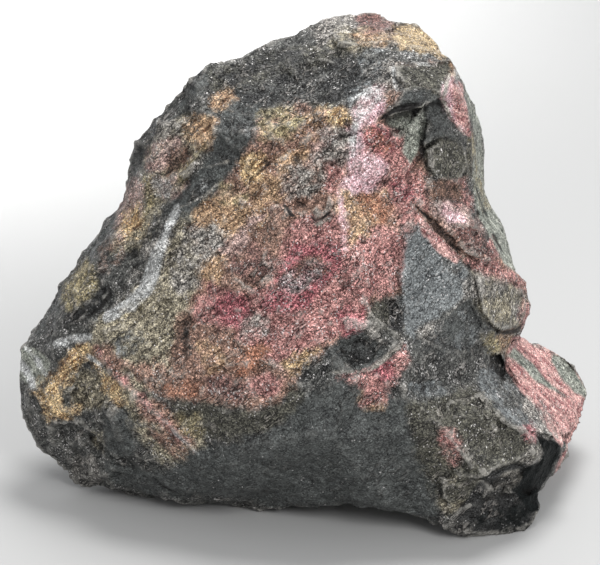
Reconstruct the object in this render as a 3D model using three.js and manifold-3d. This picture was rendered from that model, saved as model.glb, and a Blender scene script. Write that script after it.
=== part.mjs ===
// A rough piece of rhodonite, broken from its vein on every side: a blunt, leaning pyramid of stone with a
// dark roof, a long sloping front, a heavy undercut belly and a low tail at the right. It grew and broke as
// one piece, so it is one closed solid.
//
// Millimetres, +Z up. The viewer stands at -Y, with +X to the right. The stone rests on the flat patch of its
// underside at Z = 0, and the origin is in the middle of its footprint.
//
// The solid is made in five steps: a cage of named corners and broken faces, flakes and cracks taken out of
// it, short edges closed up, long edges split until the faces can carry relief, and the waviness that no
// broken stone is without.

import * as THREE from 'three';
import { ImprovedNoise } from 'three/addons/math/ImprovedNoise.js';
import { mergeVertices } from 'three/addons/utils/BufferGeometryUtils.js';
import Module from 'manifold-3d';

// Driving dimensions
const LONGEST_EDGE = 5.6; // no edge of the finished surface is longer
const SHORTEST_EDGE = 1.6; // shorter ones, left by the cuts, are closed up
const LEVEL = 0.985; // cosine of the turn below which two triangles count as level
const SWING = 0.4; // cosine of the most that a triangle may turn when a short edge is closed
const TURNING_ROUNDS = 12; // how often the edges are gone over to turn them
const TOUCHING = 1e-3; // corners closer together than this are one corner
const SCAR_FACET = 5; // about the size of the flat spots inside a flake scar
const FLAT_FADE = 7; // the waviness dies out over this height above the resting patch
const WAVES = [
  // length of a wave across the stone, and how far it moves the surface
  { length: 30, height: 1.5 },
  { length: 12, height: 0.9 },
  { length: 5.5, height: 0.5 },
];
const WAVE_STEP = 7.3; // shifts each wave away from the one before it, in waves
const WAVE_SHIFT = { y: 31.7, z: 53.1 }; // shifts the waviness along Y and Z away from the one along X
const FINISH = { color: 0x6a5c58, roughness: 0.8, metalness: 0 };

// Corners of the broken faces: [right, away from the viewer, up]
const corners = {
  // Crown: the pale cap behind the crest
  crownWest: [0.5, 17, 107],
  crownTop: [9, 23, 109.5],
  crownPeak: [16.5, 26, 110],
  crownEast: [26.5, 24, 108],
  crownNose: [31.5, 20, 104],
  crownEnd: [33.5, 16, 102.5],
  crestWest: [10, 7, 106.5],
  crestMid: [19.5, 6, 108],
  crestEnd: [31, 5, 105],

  // Roof: the dark slope from the crest down to the lip
  beak: [35, 1, 105],
  saddle: [-14.5, 10, 102],
  knob: [-20.5, 5, 103],
  knobWest: [-24.5, 5, 98.5],
  knobFoot: [-25.5, 6, 96.5],
  knobRear: [-20, 13, 99],
  knobFront: [-20.5, -2, 97],
  roofFold: [-13.5, 1, 98],
  roofRib: [11.5, -4.5, 101],
  lipWest: [-10.5, -9, 92],
  lipMid: [2, -9, 94],
  lipEast: [13, -10, 96.5],

  // Brow: the blunt overhanging face under the beak, and the notch below it
  browInner: [20.5, -4, 103.5],
  browKnee: [23, -12, 99],
  browEast: [33.5, -3, 101],
  browFootEast: [31, -6, 98.5],
  browFootMid: [27.5, -9, 97],
  browFootWest: [17.5, -11, 94],
  notchApex: [27.5, 1, 95],
  notchEast: [32, -1, 95.5],
  notchWest: [23, -10, 87.5],
  notchRidge: [30.5, -5, 88],
  spurIn: [35.5, 0, 88.5],
  spurTop: [37, 8, 96.5],
  spurFoot: [38.5, 4, 85.5],

  // East side, turning away from the viewer
  eastTop: [39, 18, 92.5],
  eastHigh: [43, 30, 80.5],
  eastMid: [44.5, 34, 70],
  eastWaist: [44.5, 33, 63.5],
  eastFlare: [49, 29, 57],
  eastLow: [50.5, 25, 51],
  eastFoot: [51.5, 20, 48.5],
  bluffHigh: [39.5, 3, 78],
  bluffMid: [39, 1, 72],
  bluffLow: [43, -1, 63.5],
  bluffFoot: [48, 2, 55],

  // Cheek and the bulge over the slanting groove
  cheekWest: [23.5, -13, 77],
  cheekEast: [27.5, -12, 78.5],
  bulgeTop: [33, -9, 74.5],
  bulgeLow: [40.5, -8.5, 64],
  grooveWest: [26, -14, 76],
  grooveMid: [32.5, -12, 68.5],
  grooveEast: [38.5, -9, 61],
  grooveEnd: [46.5, -3, 55.5],

  // Slate: the smooth blue-grey face, and the hip beside it
  slateTop: [23.5, -16.5, 71.5],
  slateWest: [22.5, -20, 56.5],
  slateFoot: [30, -19, 50.5],
  slateEast: [37.5, -13, 56],
  hipMid: [45, -8, 49],
  hipTop: [53, 12, 49],
  hipOut: [53.5, 8, 44.5],
  hipFoot: [52, 6, 37.5],
  hipIn: [37.5, -14, 43],
  gapTop: [47.5, 0, 37.5],
  gapFoot: [46.5, -6, 31],
  gapBack: [48, 4, 36],

  // West flank: a dark rim, the pale hollow inside it and the dark band beside that
  rim1: [-30.5, 8, 89.5],
  rim2: [-38, 10, 82.5],
  rimBulge: [-40, 12, 79],
  rimRear: [-33.5, 20, 80],
  rim3: [-39.5, 12, 75.5],
  rim4: [-42.5, 12, 68],
  rim5: [-48, 12, 59],
  rim6: [-56, 12, 46.5],
  rim7: [-62.5, 10, 36.5],
  shelf1: [-23, -2, 93],
  shelf2: [-32.5, 1, 84.5],
  shelf3: [-37, 2, 76.5],
  shelf4: [-38, 2, 69],
  shelf5: [-44.5, 1, 60],
  shelf6: [-52.5, 0, 49],
  hollow: [-29.5, -2.5, 79],
  band1: [-18.5, -6, 91],
  band2: [-22.5, -6, 82],
  band3: [-28.5, -7, 71.5],
  band4: [-34, -7, 62.5],
  band5: [-41, -6, 53.5],
  seam2: [-13, -9, 84],
  seam3: [-17.5, -10, 75.5],
  seam4: [-24, -11, 67],
  seam5: [-30.5, -12, 56.5],
  seam6: [-43, -9, 46],

  // Front: the long pink and tan slope
  front1: [-2, -11, 85],
  front2: [10, -14, 86],
  front3: [16, -14, 79.5],
  scarWest: [-2, -17, 76],
  scarEast: [8, -19, 76.5],
  front4: [-13, -15, 69],
  front5: [-2, -21, 66],
  front6: [10, -25, 65],
  front7: [16.5, -20, 68.5],
  front8: [-15.5, -21, 57],
  front9: [-2, -27, 54],
  front10: [-13.5, -27, 47],
  slitTop: [-25, -18, 50.5],
  slitIn: [-27, -16, 43.5],
  slitFoot: [-25.5, -24, 41],
  front11: [-35.5, -15, 43.5],
  pinkTip: [14, -28, 54],

  // Edge where the front turns under into the belly
  turn1: [-22, -28, 35],
  turn2: [-10.5, -32, 35],
  turn3: [-2, -32, 41],
  turn4: [5.5, -31, 47],
  turn5: [23, -27, 47],
  tongue: [10, -34, 41],

  // Arris: the thin ridge that runs down from the west tip
  arrisTop: [-49, -8, 40.5],
  arrisMid: [-37, -20, 33.5],
  arrisLow: [-28.5, -25, 27],
  arrisFoot: [-21, -26, 18.5],

  // West tip and the broken face under it
  tip: [-66, 8, 32.5],
  tipLow: [-66, 6, 25],
  tipIn: [-57, -2, 38],
  tipUnder: [-58, -4, 28.5],
  ochreWest: [-60, -3, 24.5],
  ochreFoot: [-54.5, -7, 20.5],
  jawMid: [-43.5, -16, 26],
  jawLow: [-45.5, -12, 18],
  jawOut: [-65, 6, 18],
  jaw1: [-62.5, 4, 12.5],
  jaw2: [-58, 3, 6.5],
  keel1: [-53, 2, 1],
  keel2: [-46, -3, 2.2],
  keel3: [-34.5, -9, 4],
  keel4: [-25.5, -12, 3.3],

  // Belly
  belly1: [-9, -32, 22.5],
  belly2: [6.5, -35, 28.5],
  belly3: [22.5, -32, 38],
  belly4: [33.5, -32, 30.5],
  ridge1: [42, -12, 37],
  ridge2: [42, -20, 33],
  ridge3: [46, -24, 28],
  ridge4: [52.5, -20, 23.5],
  hem1: [-2, -17, 6],
  hem2: [10.5, -20, 6],
  hem3: [22, -24, 5.8],
  hem4: [30, -26, 4.6],

  // Heel: the black corner at the lower right
  heelWest: [35.5, -29, 10.5],
  heelMid: [42, -33, 19],
  heelEast: [54.5, -19, 16.5],
  toeEast: [55.5, -16, 2.6],
  toeWest: [33.5, -27, 2.4],
  cornerTop: [59.5, -9, 17],
  cornerFoot: [57.5, -9, 5],

  // Tail: the banded slab that runs back at the right
  tailNape: [52.5, 17, 33.5],
  tailTop: [59.5, 22, 28.5],
  tailShoulder: [66.5, 26, 21.5],
  tailEnd: [70, 26, 14.5],
  tailFoot: [60.5, -5, 8.5],
  tailBack: [65, 38, 15],
  slabMid: [58, 7.5, 25],

  // Rear
  rear1: [-12, 29, 92],
  rear2: [10, 38, 89],
  rear3: [32, 38, 84],
  rear4: [-34, 30, 68],
  rear5: [-8, 44, 62],
  rear6: [22, 48, 57],
  rear7: [47, 43, 42],
  rear8: [-56, 26, 40],
  rear9: [-35, 42, 32],
  rear10: [0, 51, 28],
  rear11: [34, 49, 22],

  // Resting patch
  restToe: [38.5, -24, 0],
  restHeel: [50, -21, 0],
  restEast: [53, 8, 0],
  restTail: [48, 30, 0],
  restNorth: [14, 40, 0],
  restNorthWest: [-22, 34, 0],
  restWest: [-44, 18, 0],
  restSouthWest: [-42, 5, 0],
  restSouth: [-16, -8.5, 0],
  archWest: [3, -1, 0],
  archEast: [27, -9, 0],
};

// Broken faces, each an outline of corners that runs counter-clockwise seen from outside the stone
const faces = {
  crown: 'crestWest crestMid crestEnd crownEnd crownNose crownEast crownPeak crownTop crownWest',
  roofWest: 'roofFold lipWest lipMid roofRib crestWest crownWest saddle',
  roofFoot: 'lipMid lipEast roofRib',
  roofEast: 'roofRib lipEast browInner crestMid crestWest',
  roofBeak: 'browInner beak crestEnd crestMid',
  knobSide: 'knobWest knobFoot knobFront knob',
  knobTop: 'knobFront roofFold saddle knob',

  browWest: 'browFootWest browKnee browInner lipEast',
  brow: 'browKnee browFootWest browFootMid browFootEast browEast beak browInner',
  browUnder: 'browFootEast browFootMid browFootWest notchApex notchEast',
  notchWestFace: 'browFootWest notchWest notchApex',
  notchMidFace: 'notchApex notchWest cheekWest cheekEast notchRidge',
  notchEastFace: 'notchApex notchRidge spurIn notchEast',
  spur: 'notchEast spurIn spurFoot spurTop browEast browFootEast',
  beakSide: 'browEast spurTop beak',
  beakBack: 'beak spurTop eastTop crownEnd crestEnd',

  cheek: 'notchRidge cheekEast bulgeTop bluffMid bluffHigh spurFoot spurIn',
  bulgeA: 'cheekEast grooveWest grooveMid bulgeTop',
  bulgeB: 'bulgeTop grooveMid grooveEast bulgeLow',
  bulgeC: 'bulgeLow grooveEast grooveEnd bluffFoot',
  bulgeD: 'bulgeLow bluffFoot bluffLow bluffMid bulgeTop',
  cheekLip: 'cheekWest grooveWest cheekEast',
  cheekFoot: 'cheekWest slateTop grooveWest',
  slate: 'slateWest slateFoot slateEast grooveEast grooveMid grooveWest slateTop',
  hipA: 'slateFoot hipIn hipMid slateEast',
  hipB: 'hipIn gapTop hipFoot hipMid',
  hipC: 'hipFoot hipOut hipTop hipMid',
  hipD: 'hipTop grooveEnd grooveEast hipMid',
  hipE: 'grooveEast slateEast hipMid',
  gapWest: 'hipIn ridge1 gapFoot gapTop',
  gapEast: 'gapTop gapFoot gapBack',
  hipUnder: 'hipFoot gapTop gapBack tailNape',

  eastUpper: 'spurTop spurFoot bluffHigh eastMid eastHigh eastTop',
  eastMiddle: 'bluffHigh bluffMid bluffLow eastFlare eastWaist eastMid',
  eastLower: 'bluffLow bluffFoot eastFoot eastLow eastFlare',
  eastHip: 'bluffFoot grooveEnd hipTop eastFoot',
  eastRear: 'eastLow eastFoot hipTop hipOut hipFoot tailNape rear7',

  rimA: 'rim1 shelf1 knobFront knobFoot',
  rimB: 'rim2 shelf2 shelf1 rim1',
  rimC: 'rim3 shelf3 shelf2 rim2 rimBulge',
  rimD: 'rim4 shelf4 shelf3 rim3',
  rimE: 'rim5 shelf5 shelf4 rim4',
  rimF: 'rim6 shelf6 shelf5 rim5',
  rimG: 'rim7 tipIn shelf6 rim6',
  hollowTop: 'shelf2 hollow band1 shelf1',
  hollowWest: 'shelf3 hollow shelf2',
  hollowLow: 'shelf4 hollow shelf3',
  hollowFoot: 'shelf4 band3 band2 hollow',
  hollowEast: 'hollow band2 band1',
  flankTop: 'band1 lipWest roofFold knobFront shelf1',
  flankLow: 'shelf5 band4 band3 shelf4',
  flankFoot: 'shelf6 band5 band4 shelf5',
  bandA: 'band2 seam3 seam2 lipWest band1',
  bandB: 'band3 seam4 seam3 band2',
  bandC: 'band4 seam5 seam4 band3',
  bandD: 'band5 seam6 seam5 band4',
  flankTip: 'tipIn arrisTop seam6 band5 shelf6',

  frontA: 'seam2 front1 lipMid lipWest',
  frontB: 'front1 front2 lipEast lipMid',
  frontC: 'front2 front3 browFootWest lipEast',
  frontD: 'front3 cheekWest notchWest browFootWest',
  frontE: 'seam3 front4 front1 seam2',
  frontF: 'front4 scarWest front1',
  scar: 'front1 scarWest scarEast front2',
  frontG: 'scarEast front3 front2',
  frontH: 'front4 front5 scarWest',
  frontI: 'scarWest front5 front6 scarEast',
  frontJ: 'scarEast front6 front7 front3',
  frontK: 'front3 front7 slateTop cheekWest',
  frontL: 'front7 front6 slateWest slateTop',
  frontM: 'front6 pinkTip slateWest',
  frontN: 'front5 front9 pinkTip front6',
  frontO: 'front9 turn3 turn4 pinkTip',
  frontP: 'front10 turn2 turn3 front9',
  frontQ: 'front8 front10 front9 front5',
  frontR: 'front4 front8 front5',
  frontS: 'seam4 slitTop front8 front4 seam3',
  frontT: 'seam5 slitTop seam4',
  frontU: 'slitTop slitFoot front10 front8',
  frontV: 'slitFoot turn1 turn2 front10',
  frontW: 'seam6 front11 seam5',
  frontX: 'front11 slitTop seam5',
  slitWest: 'front11 slitIn slitTop',
  slitLow: 'front11 slitFoot slitIn',
  slitEast: 'slitIn slitFoot slitTop',
  frontZ: 'arrisTop arrisMid front11 seam6',
  footWest: 'arrisMid slitFoot front11',
  footMid: 'arrisMid arrisLow turn1 slitFoot',
  shoulder: 'pinkTip turn4 turn5 slateFoot slateWest',
  lap: 'turn4 tongue turn5',

  tipTop: 'tip tipUnder tipIn rim7',
  tipEast: 'tipUnder arrisTop tipIn',
  tipFoot: 'tipLow ochreWest tipUnder tip',
  ochre: 'ochreWest ochreFoot arrisTop tipUnder',
  jawTop: 'ochreFoot jawMid arrisMid arrisTop',
  jawEast: 'jawMid arrisLow arrisMid',
  jawWest: 'jawOut ochreWest tipLow',
  jawSide: 'jaw1 ochreFoot ochreWest jawOut',
  jawMiddle: 'jaw2 jawLow jawMid ochreFoot jaw1',
  jawFoot: 'jawLow arrisFoot arrisLow jawMid',
  keelWest: 'keel1 keel2 jawLow jaw2',
  keelEast: 'keel2 keel3 arrisFoot jawLow',

  bellyA: 'arrisFoot belly1 turn2 turn1 arrisLow',
  keelMid: 'keel3 keel4 arrisFoot',
  bellyB: 'keel4 restSouth belly1 arrisFoot',
  bellyC: 'restSouth hem1 belly2 belly1',
  bellyD: 'belly1 belly2 tongue turn4 turn3 turn2',
  bellyE: 'hem1 hem2 belly2',
  bellyF: 'belly2 belly3 turn5 tongue',
  bellyG: 'belly3 hipIn slateFoot turn5',
  bellyH: 'belly3 belly4 ridge2 ridge1 hipIn',
  bellyI: 'belly4 ridge3 ridge2',
  bellyJ: 'belly4 heelMid heelEast ridge4 ridge3',
  bellyK: 'belly2 hem2 hem3 belly4 belly3',
  bellyL: 'hem3 hem4 heelWest heelMid belly4',
  heel: 'hem4 toeWest restToe restHeel toeEast heelEast heelMid heelWest',
  cornerFace: 'heelEast cornerFoot cornerTop ridge4',
  cornerSliver: 'toeEast cornerFoot heelEast',

  slabA: 'slabMid gapFoot ridge1 ridge2',
  slabB: 'slabMid ridge2 ridge3 ridge4',
  slabC: 'slabMid ridge4 cornerTop',
  slabD: 'slabMid cornerTop tailFoot tailEnd',
  slabE: 'slabMid tailEnd tailShoulder tailTop',
  slabF: 'slabMid tailTop tailNape gapBack gapFoot',
  cornerSide: 'cornerTop cornerFoot tailFoot',
  tailUnder: 'cornerFoot toeEast restHeel restEast tailFoot',
  tailSide: 'tailFoot restEast restTail tailBack tailEnd',
  tailRear: 'tailNape tailTop tailBack rear11 rear7',
  tailRearTop: 'tailTop tailShoulder tailBack',
  tailRearEnd: 'tailShoulder tailEnd tailBack',

  rearCrownEast: 'crownEnd eastTop eastHigh rear3 crownEast crownNose',
  rearCrownMid: 'crownEast rear3 rear2 crownPeak',
  rearCrownTop: 'crownPeak rear2 crownTop',
  rearCrownWest: 'crownTop rear2 rear1 crownWest',
  rearSaddle: 'crownWest rear1 saddle',
  rearSaddleWest: 'saddle rear1 knobRear knob',
  rearKnob: 'knob knobRear rear4 knobFoot knobWest',
  rearShoulder: 'rear1 rear4 knobRear',
  rearRimTop: 'knobFoot rear4 rimRear rim2 rim1',
  rearRimLow: 'rear4 rim4 rim3 rimRear',
  rearRimEdge: 'rim3 rimBulge rim2 rimRear',
  rearFlank: 'rim4 rear4 rear8 rim6 rim5',
  rearTip: 'rim6 rear8 tip rim7',
  rearJaw: 'rear8 restWest restSouthWest keel1 jaw2 jaw1 jawOut tipLow tip',
  rearLowWest: 'rear8 rear9 restNorthWest restWest',
  rearLowMid: 'rear9 rear10 restNorth restNorthWest',
  rearLowEast: 'rear10 rear11 restTail restNorth',
  rearTail: 'rear11 tailBack restTail',
  rearHip: 'rear7 rear11 rear10 rear6',
  rearEast: 'eastMid eastWaist eastFlare eastLow rear7 rear6 rear3 eastHigh',
  rearMidEast: 'rear3 rear6 rear5 rear2',
  rearMidWest: 'rear2 rear5 rear4 rear1',
  rearWest: 'rear4 rear5 rear9 rear8',
  rearHeart: 'rear5 rear6 rear10 rear9',

  archA: 'restToe toeWest hem4 hem3 archEast',
  archB: 'hem3 hem2 archWest archEast',
  archC: 'hem2 hem1 restSouth archWest',
  keelUnder: 'restSouth keel4 keel3 keel2 keel1 restSouthWest',
  restingPatch: 'restHeel restToe archEast archWest restSouth restSouthWest restWest restNorthWest restNorth '
    + 'restTail restEast',
};

// The triangles of one broken face, cut from its outline in the plane that fits it best.
function trianglesOf(outline) {
  const points = outline.map((name) => new THREE.Vector3(...corners[name]));
  const middle = points.reduce((sum, p) => sum.add(p), new THREE.Vector3()).divideScalar(points.length);
  const facing = new THREE.Vector3();
  points.forEach((p, i) => {
    const next = points[(i + 1) % points.length];
    facing.add(p.clone().sub(middle).cross(next.clone().sub(middle)));
  });
  const across = points[1].clone().sub(points[0]).normalize();
  const up = facing.normalize().clone().cross(across).normalize();
  across.crossVectors(up, facing);
  const flat = points.map((p) => new THREE.Vector2(p.dot(across), p.dot(up)));
  return THREE.ShapeUtils.triangulateShape(flat, []).map((triangle) => triangle.map((i) => points[i]));
}

// The cage: every broken face, as one indexed geometry.
function cageOf(outlines) {
  const triangles = Object.values(outlines).flatMap((outline) => trianglesOf(outline.split(' ')));
  const geometry = new THREE.BufferGeometry().setFromPoints(triangles.flat());
  return mergeVertices(geometry, TOUCHING);
}

// Flakes struck from the faces. Each left a shallow hollow: where it is, which way it looks, the direction of
// its longer axis, and its length, width and depth
const scars = {
  // Front: the brown hollow, the pale one on the flank, and the two dark ones on the shoulder
  brownHollow: { at: [2, -13.8, 82.5], facing: [-0.2, -0.8, 0.55], along: [1, 0, 0.35], size: [25, 14, 1.9] },
  flankHollow: {
    at: [-28, -2.2, 84], facing: [-0.55, -0.76, 0.34],
    along: [0.75, 0, 0.65], size: [27, 12, 2.2],
  },
  shoulderHigh: {
    at: [19.6, -23.9, 54.2], facing: [0.5, -0.66, 0.56],
    along: [0.6, 0.3, -0.7], size: [13, 10, 2],
  },
  shoulderLow: {
    at: [15.5, -28.9, 47.3], facing: [0.22, -0.92, 0.32],
    along: [1, 0.1, -0.1], size: [21, 12, 2.5],
  },

  // Roof and brow
  roofDip: { at: [-3, -0.7, 99], facing: [-0.15, -0.56, 0.81], along: [1, 0.2, 0.2], size: [38, 19, 1.7] },
  browHollow: { at: [28, -7.6, 100.8], facing: [0.5, -0.7, 0.51], along: [1, 0.5, 0.2], size: [17, 9, 1.2] },

  // Jaw, belly and heel
  jawHollow: {
    at: [-50.5, -7.4, 16], facing: [-0.5, -0.76, -0.42],
    along: [0.8, -0.6, 0.1], size: [27, 13, 2.2],
  },
  heelHollow: { at: [45.3, -24, 9], facing: [0.47, -0.86, 0.2], along: [1, 0.5, 0.2], size: [25, 13, 2] },

  // Rear and sides: broad, shallow breaks that run out over the edges
  rearHigh: { at: [12, 40, 80], facing: [0.04, 0.98, 0.19], along: [1, 0, 0.4], size: [58, 40, 4.6] },
  rearMid: { at: [-12, 44.5, 46], facing: [-0.25, 0.96, 0.1], along: [0.6, 0, 1], size: [56, 38, 4.4] },
  rearLow: { at: [20, 47, 26], facing: [0.15, 0.98, -0.1], along: [1, 0, 0.3], size: [54, 32, 3.8] },
  rearEast: { at: [36, 40, 62], facing: [0.62, 0.78, -0.05], along: [0.2, 0, 1], size: [46, 28, 3.4] },
  rearWest: { at: [-38, 32, 60], facing: [-0.62, 0.7, 0.35], along: [0.5, 0, 1], size: [54, 30, 3.8] },
  rearTip: { at: [-47, 30, 24], facing: [-0.6, 0.7, -0.4], along: [1, 0.8, 0.2], size: [44, 28, 3.4] },
  crownRear: { at: [20, 32, 96], facing: [0.1, 0.93, 0.36], along: [1, 0, 0.1], size: [34, 18, 1.8] },
  saddleRear: { at: [-10, 23, 97], facing: [-0.35, 0.55, 0.75], along: [1, 0, 0.5], size: [30, 19, 2] },
  eastFace: { at: [42.5, 17, 77], facing: [0.98, -0.1, 0.17], along: [0, 0.2, 1], size: [28, 20, 1.3] },
};

// Narrow cracks and grooves: the points they run through and how wide they are opened at each
const cracks = {
  slantingGroove: {
    through: [
      [25.2, -14.4, 77.4], [28.9, -14, 72.3], [32.6, -13, 67.8],
      [38.2, -10, 61.6], [43, -6.8, 58.4], [47.6, -2, 56],
    ],
    halfWidth: [0.6, 1.9, 2.5, 3, 2.6, 0.9],
  },
  lipCrack: {
    through: [[4.6, -10.4, 90], [8, -10.9, 91.6], [13.2, -11.7, 92.2]],
    halfWidth: [0.5, 1.3, 0.6],
  },
};

// A geometry as a solid that can be cut.
function solidOf(geometry, kernel) {
  const bare = new THREE.BufferGeometry().setAttribute('position', geometry.getAttribute('position'));
  bare.setIndex(geometry.index);
  const merged = mergeVertices(bare, TOUCHING);
  return new kernel.Manifold(
    new kernel.Mesh({
      numProp: 3,
      vertProperties: new Float32Array(merged.getAttribute('position').array),
      triVerts: new Uint32Array(merged.index.array),
    }),
  );
}

// The ball, stretched, that takes one flake out of the surface.
function flakeOf(scar, kernel) {
  const [length, width, depth] = scar.size;
  const outward = new THREE.Vector3(...scar.facing).normalize();
  const across = new THREE.Vector3(...scar.along).cross(outward).normalize();
  const along = outward.clone().cross(across);
  const radius = (width * width / 4 + depth * depth) / (2 * depth);
  const middle = new THREE.Vector3(...scar.at).addScaledVector(outward, radius - depth);
  const placement = new THREE.Matrix4().makeBasis(
    across.multiplyScalar(radius),
    along.multiplyScalar(radius * length / width),
    outward.multiplyScalar(radius),
  );
  const ball = new THREE.IcosahedronGeometry(1, Math.max(1, Math.round(radius / SCAR_FACET)));
  return solidOf(ball.applyMatrix4(placement.setPosition(middle)), kernel);
}

// The chain of tapering rods that opens one crack.
function rodsOf(crack, kernel) {
  const knots = crack.through.map((point, i) => {
    const knot = new THREE.OctahedronGeometry(crack.halfWidth[i]);
    return solidOf(knot.translate(...point), kernel);
  });
  const rods = knots.slice(1).map((knot, i) => kernel.Manifold.hull([knots[i], knot]));
  return kernel.Manifold.union(rods);
}

// The corners that share an edge with each corner, and the triangles that meet there.
function fansOf(count, triangles) {
  const fans = Array.from({ length: count }, () => new Set());
  triangles.forEach((triangle, t) => triangle.forEach((corner) => fans[corner].add(t)));
  return fans;
}

// A triangle's facing, as long as twice its area.
function facingOf([a, b, c], points) {
  return points[b].clone().sub(points[a]).cross(points[c].clone().sub(points[a]));
}

// Draws the two ends of every edge shorter than the limit together, where that folds nothing over.
function closeShortEdges(points, triangles, limit) {
  const kept = triangles.map((triangle) => [...triangle]);
  const fans = fansOf(points.length, kept);
  const neighboursOf = (corner) => {
    const met = [...fans[corner]].flatMap((t) => kept[t]);
    return new Set(met.filter((other) => other !== corner));
  };
  for (let changed = true; changed;) {
    changed = false;
    for (let t = 0; t < kept.length; t += 1) {
      for (let side = 0; side < 3 && kept[t]; side += 1) {
        const a = kept[t][side];
        const b = kept[t][(side + 1) % 3];
        if (points[a].distanceTo(points[b]) >= limit) continue;
        const beyond = neighboursOf(b);
        if ([...neighboursOf(a)].filter((corner) => beyond.has(corner)).length !== 2) continue;
        const spot = points[a].clone().add(points[b]).multiplyScalar(0.5);
        const folds = [...fans[a], ...fans[b]].some((f) => {
          if (kept[f].includes(a) && kept[f].includes(b)) return false;
          const before = facingOf(kept[f], points);
          const place = (corner) => (corner === a || corner === b ? spot : points[corner]);
          const [p, q, r] = kept[f].map(place);
          const after = q.clone().sub(p).cross(r.clone().sub(p));
          return after.dot(before) <= SWING * after.length() * before.length();
        });
        if (folds) continue;
        points[a] = spot;
        for (const f of [...fans[b]]) {
          if (kept[f].includes(a)) {
            kept[f].forEach((corner) => fans[corner].delete(f));
            kept[f] = null;
          } else {
            kept[f] = kept[f].map((corner) => (corner === b ? a : corner));
            fans[a].add(f);
          }
        }
        fans[b].clear();
        changed = true;
      }
    }
  }
  return kept.filter(Boolean);
}

// Turns the shared edge of two nearly level triangles where that makes them less pointed.
function turnEdges(points, triangles) {
  const kept = triangles.map((triangle) => [...triangle]);
  const sharpest = (triangle) => {
    const angles = triangle.map((corner, i) => {
      const one = points[triangle[(i + 1) % 3]].clone().sub(points[corner]);
      return one.angleTo(points[triangle[(i + 2) % 3]].clone().sub(points[corner]));
    });
    return Math.min(...angles);
  };
  for (let round = 0; round < TURNING_ROUNDS; round += 1) {
    const owners = new Map();
    kept.forEach(([a, b, c], t) => [[a, b], [b, c], [c, a]].forEach(([p, q]) => owners.set(`${p}_${q}`, t)));
    const touched = new Set();
    let turned = 0;
    for (const [key, t] of owners) {
      const [p, q] = key.split('_').map(Number);
      const u = owners.get(`${q}_${p}`);
      if (touched.has(t) || touched.has(u)) continue;
      const r = kept[t].find((corner) => corner !== p && corner !== q);
      const s = kept[u].find((corner) => corner !== p && corner !== q);
      if (owners.has(`${r}_${s}`) || owners.has(`${s}_${r}`)) continue;
      const one = [r, p, s];
      const two = [s, q, r];
      const facing = facingOf(kept[t], points).normalize();
      const isLevel = (other) => facingOf(other, points).normalize().dot(facing) > LEVEL;
      if (![kept[u], one, two].every(isLevel)) continue;
      if (Math.min(sharpest(one), sharpest(two)) <= Math.min(sharpest(kept[t]), sharpest(kept[u]))) continue;
      kept[t] = one;
      kept[u] = two;
      touched.add(t).add(u);
      turned += 1;
    }
    if (turned === 0) break;
  }
  return kept;
}

// A triangle's edges, longest first, each with the corner across from it.
function edgesOf([a, b, c], points) {
  const lengthOf = ([p, q]) => points[p].distanceTo(points[q]);
  return [[a, b, c], [b, c, a], [c, a, b]].sort((one, two) => lengthOf(two) - lengthOf(one));
}

// One triangle, cut at whichever of its edges have been given a middle.
function splitTriangle(points, triangle, middleOf) {
  const cut = edgesOf(triangle, points).find(([p, q]) => middleOf(p, q) !== undefined);
  if (!cut) return [triangle];
  const [p, q, r] = cut;
  const middle = middleOf(p, q);
  return [[p, middle, r], [middle, q, r]].flatMap((half) => splitTriangle(points, half, middleOf));
}

// Halves every triangle across its longest edge until no edge is over the limit, so that the faces can carry
// relief.
function splitLongEdges(points, triangles, limit) {
  const keyOf = (a, b) => (a < b ? `${a}_${b}` : `${b}_${a}`);
  let open = triangles;
  for (;;) {
    const middles = new Map();
    for (const triangle of open) {
      const [a, b] = edgesOf(triangle, points)[0];
      if (points[a].distanceTo(points[b]) <= limit || middles.has(keyOf(a, b))) continue;
      middles.set(keyOf(a, b), points.length);
      points.push(points[a].clone().lerp(points[b], 0.5));
    }
    if (middles.size === 0) return open;
    open = open.flatMap((triangle) => splitTriangle(points, triangle, (a, b) => middles.get(keyOf(a, b))));
  }
}

// How a point of the surface is moved by the waviness of the break.
function waved(point) {
  const noise = new ImprovedNoise();
  const shift = new THREE.Vector3();
  WAVES.forEach(({ length, height }, i) => {
    const at = point.clone().divideScalar(length).addScalar(WAVE_STEP * (i + 1));
    shift.x += height * noise.noise(at.x, at.y, at.z);
    shift.y += height * noise.noise(at.y + WAVE_SHIFT.y, at.z, at.x);
    shift.z += height * noise.noise(at.z, at.x + WAVE_SHIFT.z, at.y);
  });
  shift.z *= THREE.MathUtils.smoothstep(point.z, 0, FLAT_FADE);
  return point.clone().add(shift);
}

const kernel = await Module();
kernel.setup();

const cage = solidOf(cageOf(faces), kernel);
const flakes = Object.values(scars).map((scar) => flakeOf(scar, kernel));
const openings = Object.values(cracks).map((crack) => rodsOf(crack, kernel));
const pieces = cage.subtract(kernel.Manifold.union([...flakes, ...openings])).decompose();
const broken = pieces.reduce((largest, piece) => (piece.volume() > largest.volume() ? piece : largest));

const { vertProperties, triVerts } = broken.getMesh();
const points = [];
for (let i = 0; i < vertProperties.length; i += 3) {
  points.push(new THREE.Vector3().fromArray(vertProperties, i));
}
const triangles = [];
for (let i = 0; i < triVerts.length; i += 3) triangles.push([...triVerts.slice(i, i + 3)]);
const tidy = turnEdges(points, closeShortEdges(points, triangles, SHORTEST_EDGE));
const split = turnEdges(points, splitLongEdges(points, tidy, LONGEST_EDGE));

const surface = new THREE.BufferGeometry().setFromPoints(points.map(waved));
surface.setIndex(split.flat());
surface.computeBoundingBox();
const { min, max } = surface.boundingBox;
surface.translate(-(min.x + max.x) / 2, -(min.y + max.y) / 2, -min.z);
surface.computeVertexNormals();

const stone = new THREE.Mesh(surface, new THREE.MeshStandardMaterial(FINISH));
stone.name = 'rhodonite_stone';

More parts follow.
